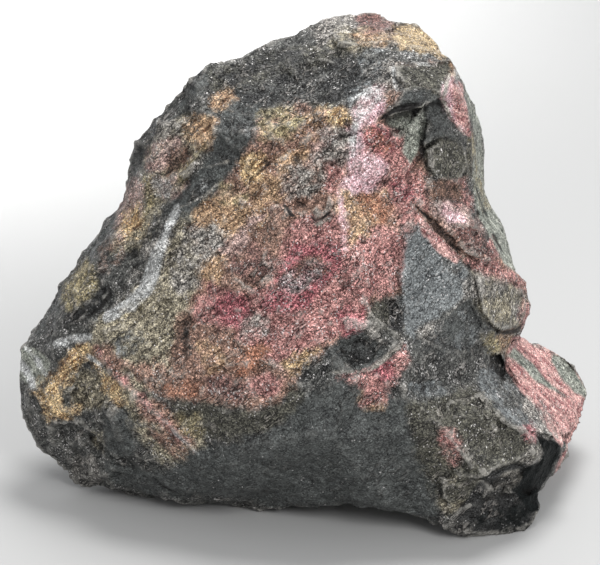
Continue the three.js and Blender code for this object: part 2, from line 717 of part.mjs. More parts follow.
const group = new THREE.Group();
group.name = 'rough_rhodonite';
group.add(stone);
export default group;
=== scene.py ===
"""The looks of a rough lump of rhodonite: the relief of its broken faces, its minerals and its grain.

Metres, +Z up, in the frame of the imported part. The lump stands on the floor at Z = 0, and its long
sloping front faces -Y. Sizes are written in millimetres, and the modelling works in millimetres too:
they are turned into metres only where a mesh, a lamp or the camera takes them. What shows on the front
is drawn on the picture plane of the camera, in pixels of its 600 by 565 frame, and laid onto the stone
from there. A line on that plane is a run of numbers: pixels across and down in turn, point by point.
"""

import itertools
import logging
import math
from dataclasses import dataclass
from enum import Enum

import bpy
import numpy as np
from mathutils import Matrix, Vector
from mathutils.bvhtree import BVHTree
from mathutils.kdtree import KDTree


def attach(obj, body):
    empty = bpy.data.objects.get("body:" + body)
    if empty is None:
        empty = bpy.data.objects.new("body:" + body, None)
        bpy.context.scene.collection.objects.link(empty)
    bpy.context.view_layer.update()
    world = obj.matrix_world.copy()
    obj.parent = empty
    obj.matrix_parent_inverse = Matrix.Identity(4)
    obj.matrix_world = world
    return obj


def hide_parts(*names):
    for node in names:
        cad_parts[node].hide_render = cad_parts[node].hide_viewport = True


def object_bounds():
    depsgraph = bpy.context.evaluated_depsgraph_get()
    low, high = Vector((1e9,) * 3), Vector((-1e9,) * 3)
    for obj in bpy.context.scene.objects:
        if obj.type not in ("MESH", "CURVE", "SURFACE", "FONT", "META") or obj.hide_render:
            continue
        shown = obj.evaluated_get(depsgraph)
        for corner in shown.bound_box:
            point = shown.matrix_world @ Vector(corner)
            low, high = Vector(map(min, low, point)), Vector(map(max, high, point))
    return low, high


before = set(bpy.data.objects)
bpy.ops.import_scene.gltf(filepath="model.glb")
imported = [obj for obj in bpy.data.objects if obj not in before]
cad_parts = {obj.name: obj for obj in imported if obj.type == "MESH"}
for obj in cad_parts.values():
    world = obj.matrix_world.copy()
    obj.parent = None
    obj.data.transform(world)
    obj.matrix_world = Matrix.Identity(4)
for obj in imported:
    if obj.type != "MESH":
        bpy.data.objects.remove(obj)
CAD_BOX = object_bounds()

logging.basicConfig(level=logging.INFO, format="%(message)s")
log = logging.getLogger("rhodonite")

MM = 0.001
STONE_NODE = "rhodonite_stone"
RIGHT = np.array((1.0, 0.0, 0.0))

# How far outside a mineral's patch, in mm, its depth is still told apart.
FARTHEST = 6.0

# The shortest stretch of a line, squared, that counts as having a length.
SHORTEST = 1e-9

# Odd numbers that stir the cells of a lattice into seeded noise.
CELL_STIR = (374761393, 668265263, 2147483647)
SEED_STIR = 974634777
LAST_STIR = 1274126177
LOW_BITS = 0xFFFFFF

Spot = tuple[float, float]
Line = tuple[float, ...]
Place = tuple[float, float, float]


class Mineral(Enum):
    """What the stone is made of, and the painted light on it, in the order laid over the dark manganese
    ore.
    """

    # Some layers paint light: the crevice lines also paint shadow under lips and overhangs, the black and
    # the umber paint shade in recesses and hollows, the rim lines paint highlights on lit edges, and the
    # glitter paints glints.
    (
        DRAB, CLAY, SLATE, SHALE, OLIVE, TAN, LILAC, ROSE, SALMON, BLUSH, SAGE, MOSS, OCHRE, BUFF, CRIMSON,
        PLUM, RUST, ASH, UMBER_AND_SHADE, GLITTER, QUARTZ, BLACK_AND_SHADE, GLOSS, CRACK_AND_SHADOW, HIGHLIGHT_AND_PALE_MARK,
    ) = range(25)


(
    DRAB, CLAY, SLATE, SHALE, OLIVE, TAN, LILAC, ROSE, SALMON, BLUSH, SAGE, MOSS, OCHRE, BUFF, CRIMSON,
    PLUM, RUST, ASH, UMBER_AND_SHADE, GLITTER, QUARTZ, BLACK_AND_SHADE, GLOSS, CRACK_AND_SHADOW, HIGHLIGHT_AND_PALE_MARK,
) = Mineral


@dataclass(frozen=True)
class Zone:
    """A patch or a streak of one mineral, or of painted shade or painted highlight, on the picture plane.

    outline holds the corners of the patch, or the route of a streak where widths (mm) are given. cover
    is how deep inside the patch (mm) its edge may still fray: little cover leaves it scattered.
    """

    name: str
    mineral: Mineral
    outline: Line
    widths: tuple[float, ...] = ()
    cover: float = 3.0


@dataclass(frozen=True)
class Pocket:
    """A body of one mineral inside the stone, which shows where the far faces cut it.

    middle and radii are in mm; turn is its heading and lean its dip, in degrees. cover is as for a zone.
    """

    name: str
    mineral: Mineral
    middle: Place
    radii: Place
    turn: float = 0.0
    lean: float = 0.0
    cover: float = 3.0

    def depth(self, places: np.ndarray) -> np.ndarray:
        """Measures how deep places lie inside the body.

        Args:
            places: rows of X, Y and Z in mm.

        Returns:
            One depth per place in mm, less than 0 outside.
        """
        turn, lean = math.radians(self.turn), math.radians(self.lean)
        along = np.array((math.cos(turn), math.sin(turn), 0.0))
        flat = math.cos(lean)
        across = np.array((-math.sin(turn) * flat, math.cos(turn) * flat, math.sin(lean)))
        axes = np.stack((along, across, np.cross(along, across)), axis=1)
        share = (places - np.array(self.middle)) @ axes / np.array(self.radii)
        return (1.0 - np.linalg.norm(share, axis=1)) * min(self.radii)


@dataclass(frozen=True)
class Fold:
    """A narrow change of height along a route on the picture plane.

    height (mm) is how far it stands out, or in where it is less than 0. A fold with a reach (mm) is a
    step: its high side lies to the left of the route, and falls off over that reach. Without one it is a
    ridge or a furrow as wide as width (mm).
    """

    name: str
    route: Line
    height: float
    width: float = 0.8
    reach: float = 0.0


@dataclass(frozen=True)
class Swell:
    """A low mound (height > 0) or hollow (height < 0) inside an outline.

    height and edge, the width of its slope, are in mm.
    """

    name: str
    outline: Line
    height: float
    edge: float = 1.5


@dataclass(frozen=True)
class Facet:
    """A flat face inside an outline: the stone there is pressed to its own mean plane.

    rise (mm) lifts the whole face. lean is how much further it stands out, in mm per mm, toward the
    right and toward the top of the picture. bowl scoops its middle, and edge is the width of its border,
    both in mm.
    """

    name: str
    outline: Line
    rise: float = 0.0
    lean: tuple[float, float] = (0.0, 0.0)
    bowl: float = 0.0
    edge: float = 0.4


@dataclass(frozen=True)
class Pull:
    """A spot on the outline, and how it is pulled over the picture plane; all are in pixels."""

    across: int
    down: int
    pulled_right: int
    pulled_down: int


@dataclass(frozen=True)
class Rugged:
    """How coarsely the stone is broken inside an outline: the shares of its scars and of its grain."""

    name: str
    outline: Line
    big: float
    small: float
    grain: float = 1.0


@dataclass(frozen=True)
class Viewpoint:
    """Where the lump is seen from, and the picture plane before it.

    aim, the spot that is looked at, reach, the distance from it, lens and film are in mm; elevation is
    in degrees, width and height are in pixels.
    """

    aim: Place = (-2.0, -8.0, 53.0)
    reach: float = 600.0
    elevation: float = 20.0
    lens: float = 156.96
    film: float = 36.0
    width: int = 600
    height: int = 565

    @property
    def back(self) -> np.ndarray:
        """The direction from the lump to the eye."""
        slope = math.radians(self.elevation)
        return np.array((0.0, -math.cos(slope), math.sin(slope)))

    @property
    def up(self) -> np.ndarray:
        """The direction in the lump's frame that is up in the picture."""
        return np.cross(RIGHT, -self.back)

    @property
    def eye(self) -> np.ndarray:
        """The place of the eye."""
        return np.array(self.aim) + self.back * self.reach

    @property
    def pixels_per_mm(self) -> float:
        """Pixels of the picture plane to a millimetre at the middle of the lump."""
        return self.width * self.lens / self.film / self.reach

    def project(self, places: np.ndarray) -> np.ndarray:
        """Finds where places appear on the picture plane.

        Args:
            places: rows of X, Y and Z in mm.

        Returns:
            Rows of pixels across and down.
        """
        seen = places - np.array(self.aim)
        depth = self.reach - seen @ self.back
        scale = self.pixels_per_mm * self.reach / depth
        across = self.width / 2 + seen[:, 0] * scale
        down = self.height / 2 - seen @ self.up * scale
        return np.stack((across, down), axis=1)


VIEW = Viewpoint()


def deselect_all() -> None:
    """Leaves object mode with nothing selected, so that an operator acts on one piece alone."""
    if bpy.context.object and bpy.context.object.mode != "OBJECT":
        bpy.ops.object.mode_set(mode="OBJECT")
    bpy.ops.object.select_all(action="DESELECT")


def pick(piece: bpy.types.Object) -> None:
    """Makes one piece the only selected and the active one.

    Args:
        piece: the object that the next operator acts on.
    """
    deselect_all()
    piece.select_set(True)
    bpy.context.view_layer.objects.active = piece


def apply_modifier(piece: bpy.types.Object, kind: str, **settings: object) -> None:
    """Adds a modifier to a piece and applies it.

    Args:
        piece: the mesh object.
        kind: Blender's name for the kind of modifier.
        settings: the modifier's own values.
    """
    pick(piece)
    bpy.ops.object.modifier_add(type=kind)
    modifier = piece.modifiers[-1]
    for name, value in settings.items():
        setattr(modifier, name, value)
    bpy.ops.object.modifier_apply(modifier=modifier.name)


def smooth_step(values: np.ndarray) -> np.ndarray:
    """Eases values from 0 to 1, and holds them there outside."""
    held = np.clip(values, 0.0, 1.0)
    return held * held * (3.0 - 2.0 * held)


def scatter(cells: np.ndarray, seed: int) -> np.ndarray:
    """Gives each cell of a lattice its own number, the same in each run.

    Args:
        cells: rows of whole numbers.
        seed: which numbers they get.

    Returns:
        One number from 0 to 1 per cell.
    """
    mixed = sum(cells[:, axis] * stir for axis, stir in enumerate(CELL_STIR)) + seed * SEED_STIR
    mixed = (mixed ^ (mixed >> 13)) * LAST_STIR
    mixed = (mixed ^ (mixed >> 16)) & LOW_BITS
    return mixed / float(LOW_BITS)


def ripple(places: np.ndarray, size: float, seed: int) -> np.ndarray:
    """Smooth seeded noise.

    Args:
        places: rows of X, Y and Z in mm.
        size: width of its waves in mm.
        seed: which noise it is.

    Returns:
        One value per place, from -1 to 1.
    """
    lattice = places / size
    base = np.floor(lattice).astype(np.int64)
    part = smooth_step(lattice - base)
    total = np.zeros(len(places))
    for corner in itertools.product((0, 1), repeat=3):
        weight = np.prod(np.where(corner, part, 1.0 - part), axis=1)
        total += weight * scatter(base + np.array(corner), seed)
    return total * 2.0 - 1.0


def scars(
    places: np.ndarray, spacing: float, seed: int, tilt: float = 0.45, bowl: float = 0.7
) -> np.ndarray:
    """Heights of small scooped scars that meet in sharp crests, as a hard stone breaks.

    Args:
        places: rows of X, Y and Z in mm.
        spacing: distance between scars in mm.
        seed: which scars they are.
        tilt: how steeply their floors lean.
        bowl: how deeply they are scooped.

    Returns:
        One height per place in mm, about 0 on average.
    """
    lattice = places / spacing
    base = np.floor(lattice).astype(np.int64)
    lowest = np.full(len(places), np.inf)
    for corner in itertools.product((-1, 0, 1), repeat=3):
        cell = base + np.array(corner)
        middle = cell + np.stack([scatter(cell, seed + axis) for axis in range(3)], axis=1)
        lean = np.stack([scatter(cell, seed + 3 + axis) for axis in range(3)], axis=1) * 2.0 - 1.0
        away = lattice - middle
        floor = bowl * np.sum(away * away, axis=1) + tilt * np.sum(away * lean, axis=1)
        lowest = np.minimum(lowest, floor)
    return (lowest - np.mean(lowest)) * spacing


@dataclass(frozen=True)
class Noise:
    """One layer of seeded roughness.

    size is the width of its waves or scars and strength how far it moves the surface, both in mm.
    """

    size: float
    strength: float
    seed: int

    def waves(self, places: np.ndarray) -> np.ndarray:
        """Gives smooth waves, one height in mm per place."""
        return self.strength * ripple(places, self.size, self.seed)

    def scars(self, places: np.ndarray) -> np.ndarray:
        """Gives scooped scars, one height in mm per place."""
        return self.strength * scars(places, self.size, self.seed)

    def bend(self, places: np.ndarray) -> np.ndarray:
        """Gives shifts along X, Y and Z in mm that bend a pattern out of line."""
        shifts = [ripple(places, self.size, self.seed + axis) for axis in range(3)]
        return self.strength * np.stack(shifts, axis=1)


WAVER = Noise(3.0, 0.35, 11)
ROOF_RIBS = Noise(1.7, 0.22, 21)
WIDE_ROOF_RIBS = Noise(3.4, 0.132, 22)
BEND = Noise(8.0, 1.8, 31)
FINE_BEND = Noise(3.0, 0.5, 34)
BIG_SCARS = Noise(9.0, 0.38, 41)
MIDDLE_SCARS = Noise(4.4, 0.36, 51)
SMALL_SCARS = Noise(2.2, 0.5, 61)
GRAIN = Noise(0.8, 0.1, 71)
WIDE_GRAIN = Noise(1.4, 0.1, 72)


def stops(numbers: Line) -> list[Spot]:
    """Reads a line's points from its numbers, which are pixels across and down in turn."""
    return list(zip(numbers[::2], numbers[1::2]))


def segment_distances(spots: np.ndarray, start: Spot, end: Spot) -> tuple[np.ndarray, np.ndarray]:
    """Measures spots from one stretch of a line.

    Args:
        spots: rows of pixels across and down.
        start: where the stretch starts.
        end: where it ends.

    Returns:
        The distance of each spot from the stretch, and how far along it (0 to 1) the nearest point is.
    """
    first = np.array(start, dtype=float)
    step = np.array(end, dtype=float) - first
    along = np.clip((spots - first) @ step / max(step @ step, SHORTEST), 0.0, 1.0)
    return np.linalg.norm(spots - first - along[:, None] * step, axis=1), along


def patch_depth(spots: np.ndarray, outline: Line) -> np.ndarray:
    """Measures how deep spots lie inside an outline.

    Args:
        spots: rows of pixels across and down.
        outline: the corners of the patch.

    Returns:
        One depth per spot in pixels, less than 0 outside.
    """
    nearest = np.full(len(spots), np.inf)
    inside = np.zeros(len(spots), dtype=bool)
    corners = stops(outline)
    for start, end in zip(corners, corners[1:] + corners[:1]):
        nearest = np.minimum(nearest, segment_distances(spots, start, end)[0])
        spans = (spots[:, 1] < start[1]) != (spots[:, 1] < end[1])
        if start[1] != end[1]:
            crossing = start[0] + (spots[:, 1] - start[1]) * (end[0] - start[0]) / (end[1] - start[1])
            inside ^= spans & (spots[:, 0] < crossing)
    return np.where(inside, nearest, -nearest)


def streak_depth(spots: np.ndarray, route: Line, widths: np.ndarray) -> np.ndarray:
    """Measures how deep spots lie inside a streak.

    Args:
        spots: rows of pixels across and down.
        route: the points that the streak runs through.
        widths: how wide it is at each of them, in pixels.

    Returns:
        One depth per spot in pixels, less than 0 outside.
    """
    deepest = np.full(len(spots), -np.inf)
    points = stops(route)
    for start, end, first, last in zip(points, points[1:], widths, widths[1:]):
        distance, along = segment_distances(spots, start, end)
        deepest = np.maximum(deepest, (first + (last - first) * along) / 2 - distance)
    return deepest


# The wide ground tones under the smaller patches.
GROUND_ZONES = (
    Zone("slope_ground", CLAY, (254, 118, 300, 104, 352, 110, 392, 112, 420, 150, 432, 200, 470, 248, 520,
        268, 528, 290, 470, 262, 420, 226, 402, 236, 400, 290, 364, 316, 344, 338, 300, 366, 290, 392,
        262, 406, 200, 406, 160, 390, 180, 330, 206, 270, 190, 228, 226, 182)),
    Zone("flank_ground", DRAB, (178, 214, 226, 186, 236, 236, 208, 284, 190, 330, 184, 376, 150, 394, 118,
        384, 92, 356, 92, 322, 126, 306, 158, 268)),
    Zone("hollow_ground", DRAB, (140, 132, 186, 116, 214, 122, 206, 150, 182, 182, 160, 208, 140, 248,
        116, 246, 126, 200, 146, 170), cover=1.0),
    Zone("foot_ground", OLIVE, (404, 404, 470, 384, 520, 432, 548, 444, 538, 474, 500, 500, 440, 500, 420,
        470), cover=1.5),
    Zone("ridge_ground", DRAB, (96, 352, 140, 384, 170, 414, 200, 432, 216, 466, 196, 480, 160, 462, 120,
        414, 96, 384), cover=0.8),
)

# The pale cap on the summit.
CROWN_ZONES = (
    Zone("crown_buff", DRAB, (322, 42, 338, 30, 362, 27, 395, 33, 402, 47, 381, 43, 352, 49, 333, 49),
        cover=0.5),
    Zone("crown_tan", TAN, (352, 34, 374, 34, 396, 38, 402, 47, 381, 43, 360, 45), cover=0.1),
    Zone("crown_grey", ASH, (312, 30, 326, 20, 352, 16, 356, 28, 334, 34, 320, 42), cover=0.7),
    Zone("crown_blush", PLUM, (354, 17, 372, 15, 386, 19, 388, 28, 372, 31, 357, 27), cover=0.9),
    Zone("crown_lilac", LILAC, (377, 20, 392, 19, 400, 30, 390, 34, 380, 31), cover=0.9),
    Zone("crown_gold", BUFF, (393, 26, 404, 23, 420, 27, 434, 40, 445, 57, 424, 53, 402, 48, 394, 38)),
    Zone("crown_rim", OCHRE, (420, 29, 432, 40, 442, 52), widths=(0.5, 0.9, 0.9), cover=0.1),
)

# The dark roof.
ROOF_ZONES = (
    Zone("roof_west", OLIVE, (208, 72, 262, 56, 320, 46, 345, 50, 330, 66, 280, 72, 240, 84, 214, 92),
        cover=0.3),
    Zone("roof_shade", BLACK_AND_SHADE, (214, 72, 262, 56, 320, 46, 358, 62, 366, 88, 340, 100, 262, 108, 236, 94),
        cover=0.05),
    Zone("roof_frost", QUARTZ, (406, 50, 424, 53, 436, 60, 430, 66, 416, 63, 404, 57), cover=-0.22),
    Zone("roof_sheen", SLATE, (352, 60, 372, 46, 394, 50, 384, 74, 368, 88, 352, 98, 344, 84),
        cover=-0.2),
    Zone("brow_west", ASH, (384, 66, 393, 62, 397, 84, 388, 94, 378, 100, 374, 92), cover=0.3),
)

# The brow under the beak.
BROW_ZONES = (
    Zone("brow_face", OLIVE, (394, 66, 420, 64, 453, 62, 457, 80, 440, 97, 424, 88, 404, 86, 396, 80)),
    Zone("brow_warm", CLAY, (398, 66, 420, 64, 453, 62, 455, 80, 440, 92, 424, 84, 404, 82), cover=-0.2),
    Zone("brow_shade", SHALE, (404, 88, 424, 88, 442, 97, 436, 104, 415, 109, 400, 112, 398, 100)),
    Zone("brow_edge", QUARTZ, (393, 68, 394, 80, 397, 90), widths=(0.3, 0.5, 0.3)),
    Zone("brow_foot", CLAY, (380, 90, 392, 86, 404, 96, 398, 108, 382, 112, 374, 104)),
    Zone("beak_edge", TAN, (450, 64, 459, 66, 461, 76, 452, 74)),
)

# The notch under the brow.
NOTCH_ZONES = (
    Zone("notch_face", OLIVE, (383, 116, 412, 111, 410, 128, 400, 140, 388, 130)),
    # notch_ridge: the lit west side of the ridge, painted paler than its shaded east side.
    Zone("notch_ridge", SAGE, (423, 104, 426, 122, 421, 146, 411, 165, 402, 152, 408, 126)),
    Zone("notch_shade", SHALE, (426, 106, 441, 104, 454, 124, 450, 137, 436, 139, 422, 148, 427, 124)),
    # notch_gap: a painted shadow under the overhanging brow.
    Zone("notch_gap", CRACK_AND_SHADOW, (377, 121, 388, 112, 397, 106, 409, 104, 424, 102, 423, 105, 410, 110, 396,
        112, 386, 117)),
    # notch_crest: a painted highlight along the crest of the ridge.
    Zone("notch_crest", HIGHLIGHT_AND_PALE_MARK, (423, 104, 420, 114, 413, 120, 408, 128), widths=(0.2, 0.4, 0.4, 0.2),
        cover=0.0),
    # cheek_top and brow_foot_line: painted shadow lines under the notch and under the brow.
    Zone("cheek_top", CRACK_AND_SHADOW, (422, 150, 430, 143, 440, 138, 450, 138), widths=(0.3, 0.5, 0.4, 0.2),
        cover=0.1),
    Zone("brow_foot_line", CRACK_AND_SHADOW, (404, 110, 414, 104, 428, 99, 440, 97), widths=(0.2, 0.4, 0.4, 0.2),
        cover=0.0),
)

# The layered east face and its red edge.
SIDE_ZONES = (
    Zone("beak_blush", SALMON, (441, 98, 452, 76, 462, 84, 466, 104, 472, 138, 464, 134, 450, 118)),
    Zone("beak_frost", QUARTZ, (452, 72, 458, 68, 462, 80, 460, 92, 454, 86), cover=-0.1),
    Zone("side_layers", SAGE, (464, 88, 478, 104, 488, 190, 498, 214, 512, 244, 518, 274, 504, 264, 492,
        240, 478, 216, 472, 180, 476, 140)),
    Zone("side_streak", MOSS, (472, 140, 476, 170, 486, 206), widths=(0.5, 0.7, 0.5), cover=0.5),
    Zone("side_crack", CRACK_AND_SHADOW, (474, 182, 480, 200, 488, 220, 494, 236, 502, 252), widths=(0.2, 0.4, 0.5,
        0.5, 0.3), cover=0.05),
    # strip_edge: a painted highlight along the lit edge of the red strip.
    Zone("strip_edge", HIGHLIGHT_AND_PALE_MARK, (450, 74, 446, 88, 443, 100, 450, 116, 464, 134), widths=(0.2, 0.5, 0.5, 0.4,
        0.2), cover=0.1),
)

# The cheek, the bulge under it and the groove.
CHEEK_ZONES = (
    Zone("cheek", OLIVE, (424, 148, 440, 138, 462, 142, 472, 152, 470, 176, 456, 184, 438, 180, 426,
        166)),
    # notch_light: painted light on the notch face, which is lit.
    Zone("notch_light", SAGE, (385, 118, 410, 112, 408, 128, 400, 138, 390, 130), cover=0.1),
    Zone("cheek_foot", UMBER_AND_SHADE, (430, 180, 450, 178, 464, 184, 460, 198, 444, 200, 430, 198), cover=0.8),
    Zone("cheek_blush", ROSE, (446, 184, 462, 182, 470, 206, 460, 208), cover=0.5),
    Zone("bulge", LILAC, (426, 202, 442, 197, 462, 203, 474, 220, 480, 230, 466, 230, 446, 224, 430, 216),
        cover=1.2),
    # bulge_bloom: a painted highlight, pale pink, on the top of the rounded bulge.
    Zone("bulge_bloom", BLUSH, (438, 204, 450, 202, 462, 208, 464, 220, 450, 220, 440, 212), cover=-0.2),
    Zone("strip_bloom", BLUSH, (450, 80, 446, 92, 448, 104, 454, 118, 463, 130), widths=(0.7, 1.4, 1.6,
        1.1, 0.7), cover=0.5),
    Zone("bulge_foot", PLUM, (450, 226, 470, 224, 488, 238, 494, 256, 480, 262, 462, 250)),
    Zone("bulge_end", ROSE, (482, 240, 494, 240, 500, 256, 490, 258)),
    # groove and groove_core: painted shade and painted shadow in the groove under the overhanging bulge.
    Zone("groove", UMBER_AND_SHADE, (412, 200, 420, 210, 434, 222, 447, 238, 460, 252, 476, 259), widths=(0.3, 0.6,
        0.8, 0.9, 0.7, 0.5)),
    Zone("groove_core", CRACK_AND_SHADOW, (416, 206, 424, 214, 436, 226, 448, 240, 458, 252), widths=(0.2, 0.5,
        0.6, 0.7, 0.3)),
    Zone("groove_lip", SALMON, (416, 212, 430, 226, 444, 242, 460, 257, 456, 263, 438, 252, 422, 234)),
    Zone("ledge_blush", ROSE, (466, 260, 488, 258, 508, 266, 528, 282, 526, 292, 506, 280, 474, 268)),
)

# The white and rose patches under the roof.
LIP_ZONES = (
    Zone("lip_frost", QUARTZ, (352, 98, 364, 89, 380, 86, 380, 100, 370, 112, 356, 120, 348, 112),
        cover=0.05),
    Zone("white_slip", BLUSH, (350, 108, 360, 96, 372, 88, 384, 86, 384, 98, 384, 112, 376, 121, 366, 128,
        352, 128, 346, 118), cover=0.7),
    Zone("lilac_band", LILAC, (347, 110, 362, 108, 369, 130, 364, 154, 384, 158, 388, 178, 376, 194, 354,
        197, 349, 170, 351, 140), cover=1.6),
    Zone("lip_lilac", LILAC, (348, 104, 364, 88, 386, 94, 378, 118, 364, 138, 348, 136), cover=1.2),
    Zone("rose_head", CRIMSON, (364, 130, 380, 126, 392, 136, 392, 150, 378, 154, 366, 146), cover=0.2),
    Zone("head_rust", RUST, (368, 134, 384, 132, 390, 144, 378, 150, 370, 144), cover=-0.1),
    Zone("rose_neck", ROSE, (368, 122, 390, 128, 410, 148, 426, 180, 424, 212, 408, 232, 398, 214, 386,
        190, 360, 190, 354, 160, 362, 140)),
    Zone("lilac_heart", BLUSH, (358, 158, 368, 152, 380, 156, 386, 164, 384, 176, 376, 184, 372, 192, 362,
        195, 350, 196, 348, 182, 352, 170), cover=0.8),
    Zone("column", BLUSH, (346, 122, 364, 124, 362, 140, 366, 156, 362, 168, 348, 174, 345, 150),
        cover=0.6),
    Zone("column_frost", QUARTZ, (360, 112, 356, 124, 352, 140, 353, 156), widths=(1.4, 1.4, 1.1, 0.7),
        cover=-0.05),
    Zone("tan_lump", TAN, (373, 184, 384, 180, 391, 186, 388, 196, 374, 196)),
    Zone("plum_spot", CRIMSON, (393, 183, 408, 184, 411, 196, 398, 198)),
    Zone("lip_gold", OCHRE, (326, 110, 340, 105, 353, 110, 352, 122, 336, 126, 326, 120), cover=0.8),
    Zone("veil", LILAC, (322, 130, 345, 128, 358, 132, 356, 166, 338, 170, 322, 158, 316, 146),
        cover=1.2),
    Zone("veil_grey", ASH, (320, 130, 344, 128, 352, 138, 350, 156, 340, 166, 324, 158), cover=0.5),
    Zone("veil_foot", ROSE, (328, 166, 342, 168, 345, 184, 336, 196, 327, 190, 324, 178), cover=0.6),
)

# The upper slope.
SLOPE_ZONES = (
    Zone("slope_top", DRAB, (262, 112, 284, 104, 312, 104, 330, 112, 322, 138, 300, 152, 276, 164, 258,
        160, 256, 136), cover=0.9),
    Zone("slope_top_tan", TAN, (304, 116, 318, 112, 324, 124, 318, 140, 306, 148, 300, 134), cover=0.2),
    Zone("slope_finger", SHALE, (306, 94, 312, 106, 318, 122), widths=(2.1, 1.4, 0.7), cover=0.3),
    Zone("slope_finger_west", SHALE, (270, 92, 274, 104, 270, 116), widths=(1.8, 1.1, 0.7), cover=0.3),
    Zone("slope_brown", MOSS, (258, 116, 290, 106, 304, 120, 290, 136, 264, 142), cover=0.5),
    Zone("slope_gold", OCHRE, (243, 158, 256, 153, 266, 160, 262, 176, 250, 182, 242, 174)),
    Zone("slope_buff", TAN, (276, 158, 292, 152, 308, 150, 306, 166, 290, 174, 278, 172)),
    Zone("slope_ash", ASH, (284, 168, 300, 156, 318, 154, 322, 176, 308, 194, 290, 198, 280, 188),
        cover=0.0),
    Zone("slope_lilac", LILAC, (284, 190, 298, 172, 316, 156), widths=(1.4, 2.1, 1.4), cover=0.6),
    Zone("slope_clay", TAN, (250, 182, 268, 174, 282, 178, 284, 198, 270, 208, 252, 204), cover=0.5),
    Zone("slope_olive", MOSS, (222, 184, 246, 180, 250, 200, 238, 206, 220, 202), cover=0.1),
    Zone("slope_tan", TAN, (196, 212, 214, 200, 240, 204, 264, 200, 270, 212, 254, 228, 232, 236, 206,
        236, 196, 226)),
    Zone("slope_veil", LILAC, (240, 234, 258, 220, 274, 208), widths=(1.1, 1.4, 1.1), cover=1.2),
    Zone("slope_blush", CLAY, (276, 208, 296, 214, 318, 216, 324, 232, 300, 240, 280, 236)),
    Zone("hollow_drab", DRAB, (290, 186, 308, 178, 328, 180, 338, 196, 330, 210, 308, 212, 294, 206),
        cover=0.8),
    # hollow: brown tone in the dish of the hollow, with painted shade.
    Zone("hollow", UMBER_AND_SHADE, (296, 198, 308, 190, 322, 192, 328, 204, 320, 212, 306, 212, 296, 208),
        cover=-0.1),
    # lip_west and lip_east: painted shadow under the lips of the raised flake; lip_east_rim: a painted
    # highlight on the lip above it.
    Zone("lip_west", CRACK_AND_SHADOW, (272, 203, 283, 205, 288, 209, 291, 215, 295, 216), widths=(0.3, 0.5, 0.9,
        0.8, 0.3)),
    Zone("lip_east", CRACK_AND_SHADOW, (334, 200, 331, 210, 325, 217, 316, 221, 310, 216), widths=(0.4, 0.7, 0.8,
        0.7, 0.3)),
    Zone("lip_east_rim", HIGHLIGHT_AND_PALE_MARK, (337, 202, 334, 212, 327, 220, 317, 225, 308, 221), widths=(0.2, 0.5, 0.5,
        0.5, 0.2), cover=0.0),
    Zone("veil_crack", CRACK_AND_SHADOW, (337, 138, 344, 136, 352, 135, 361, 131), widths=(0.3, 0.7, 0.5, 0.2)),
    Zone("slope_line_west", CRACK_AND_SHADOW, (268, 140, 262, 150, 254, 162, 246, 174), widths=(0.2, 0.5, 0.5,
        0.2), cover=0.0),
    Zone("slope_line", CRACK_AND_SHADOW, (290, 150, 280, 156, 270, 162, 258, 173, 250, 180), widths=(0.2, 0.4, 0.6,
        0.5, 0.2), cover=0.1),
    Zone("slope_joint", CRACK_AND_SHADOW, (316, 126, 310, 136, 309, 150), widths=(0.2, 0.4, 0.2), cover=0.0),
    Zone("rose_crack", CRACK_AND_SHADOW, (374, 262, 386, 276, 392, 282), widths=(0.2, 0.4, 0.2), cover=0.0),
    Zone("column_edge", BLUSH, (357, 150, 352, 170, 343, 186, 341, 204, 345, 226, 346, 248), widths=(0.9,
        0.7, 0.6, 0.5, 0.5, 0.3), cover=-0.05),
    Zone("stripe", TAN, (336, 190, 352, 188, 362, 196, 376, 198, 378, 224, 370, 252, 362, 276, 350, 276,
        344, 250, 336, 222), cover=1.1),
    Zone("stripe_rust", RUST, (360, 198, 378, 198, 388, 206, 382, 224, 364, 218), cover=0.1),
)

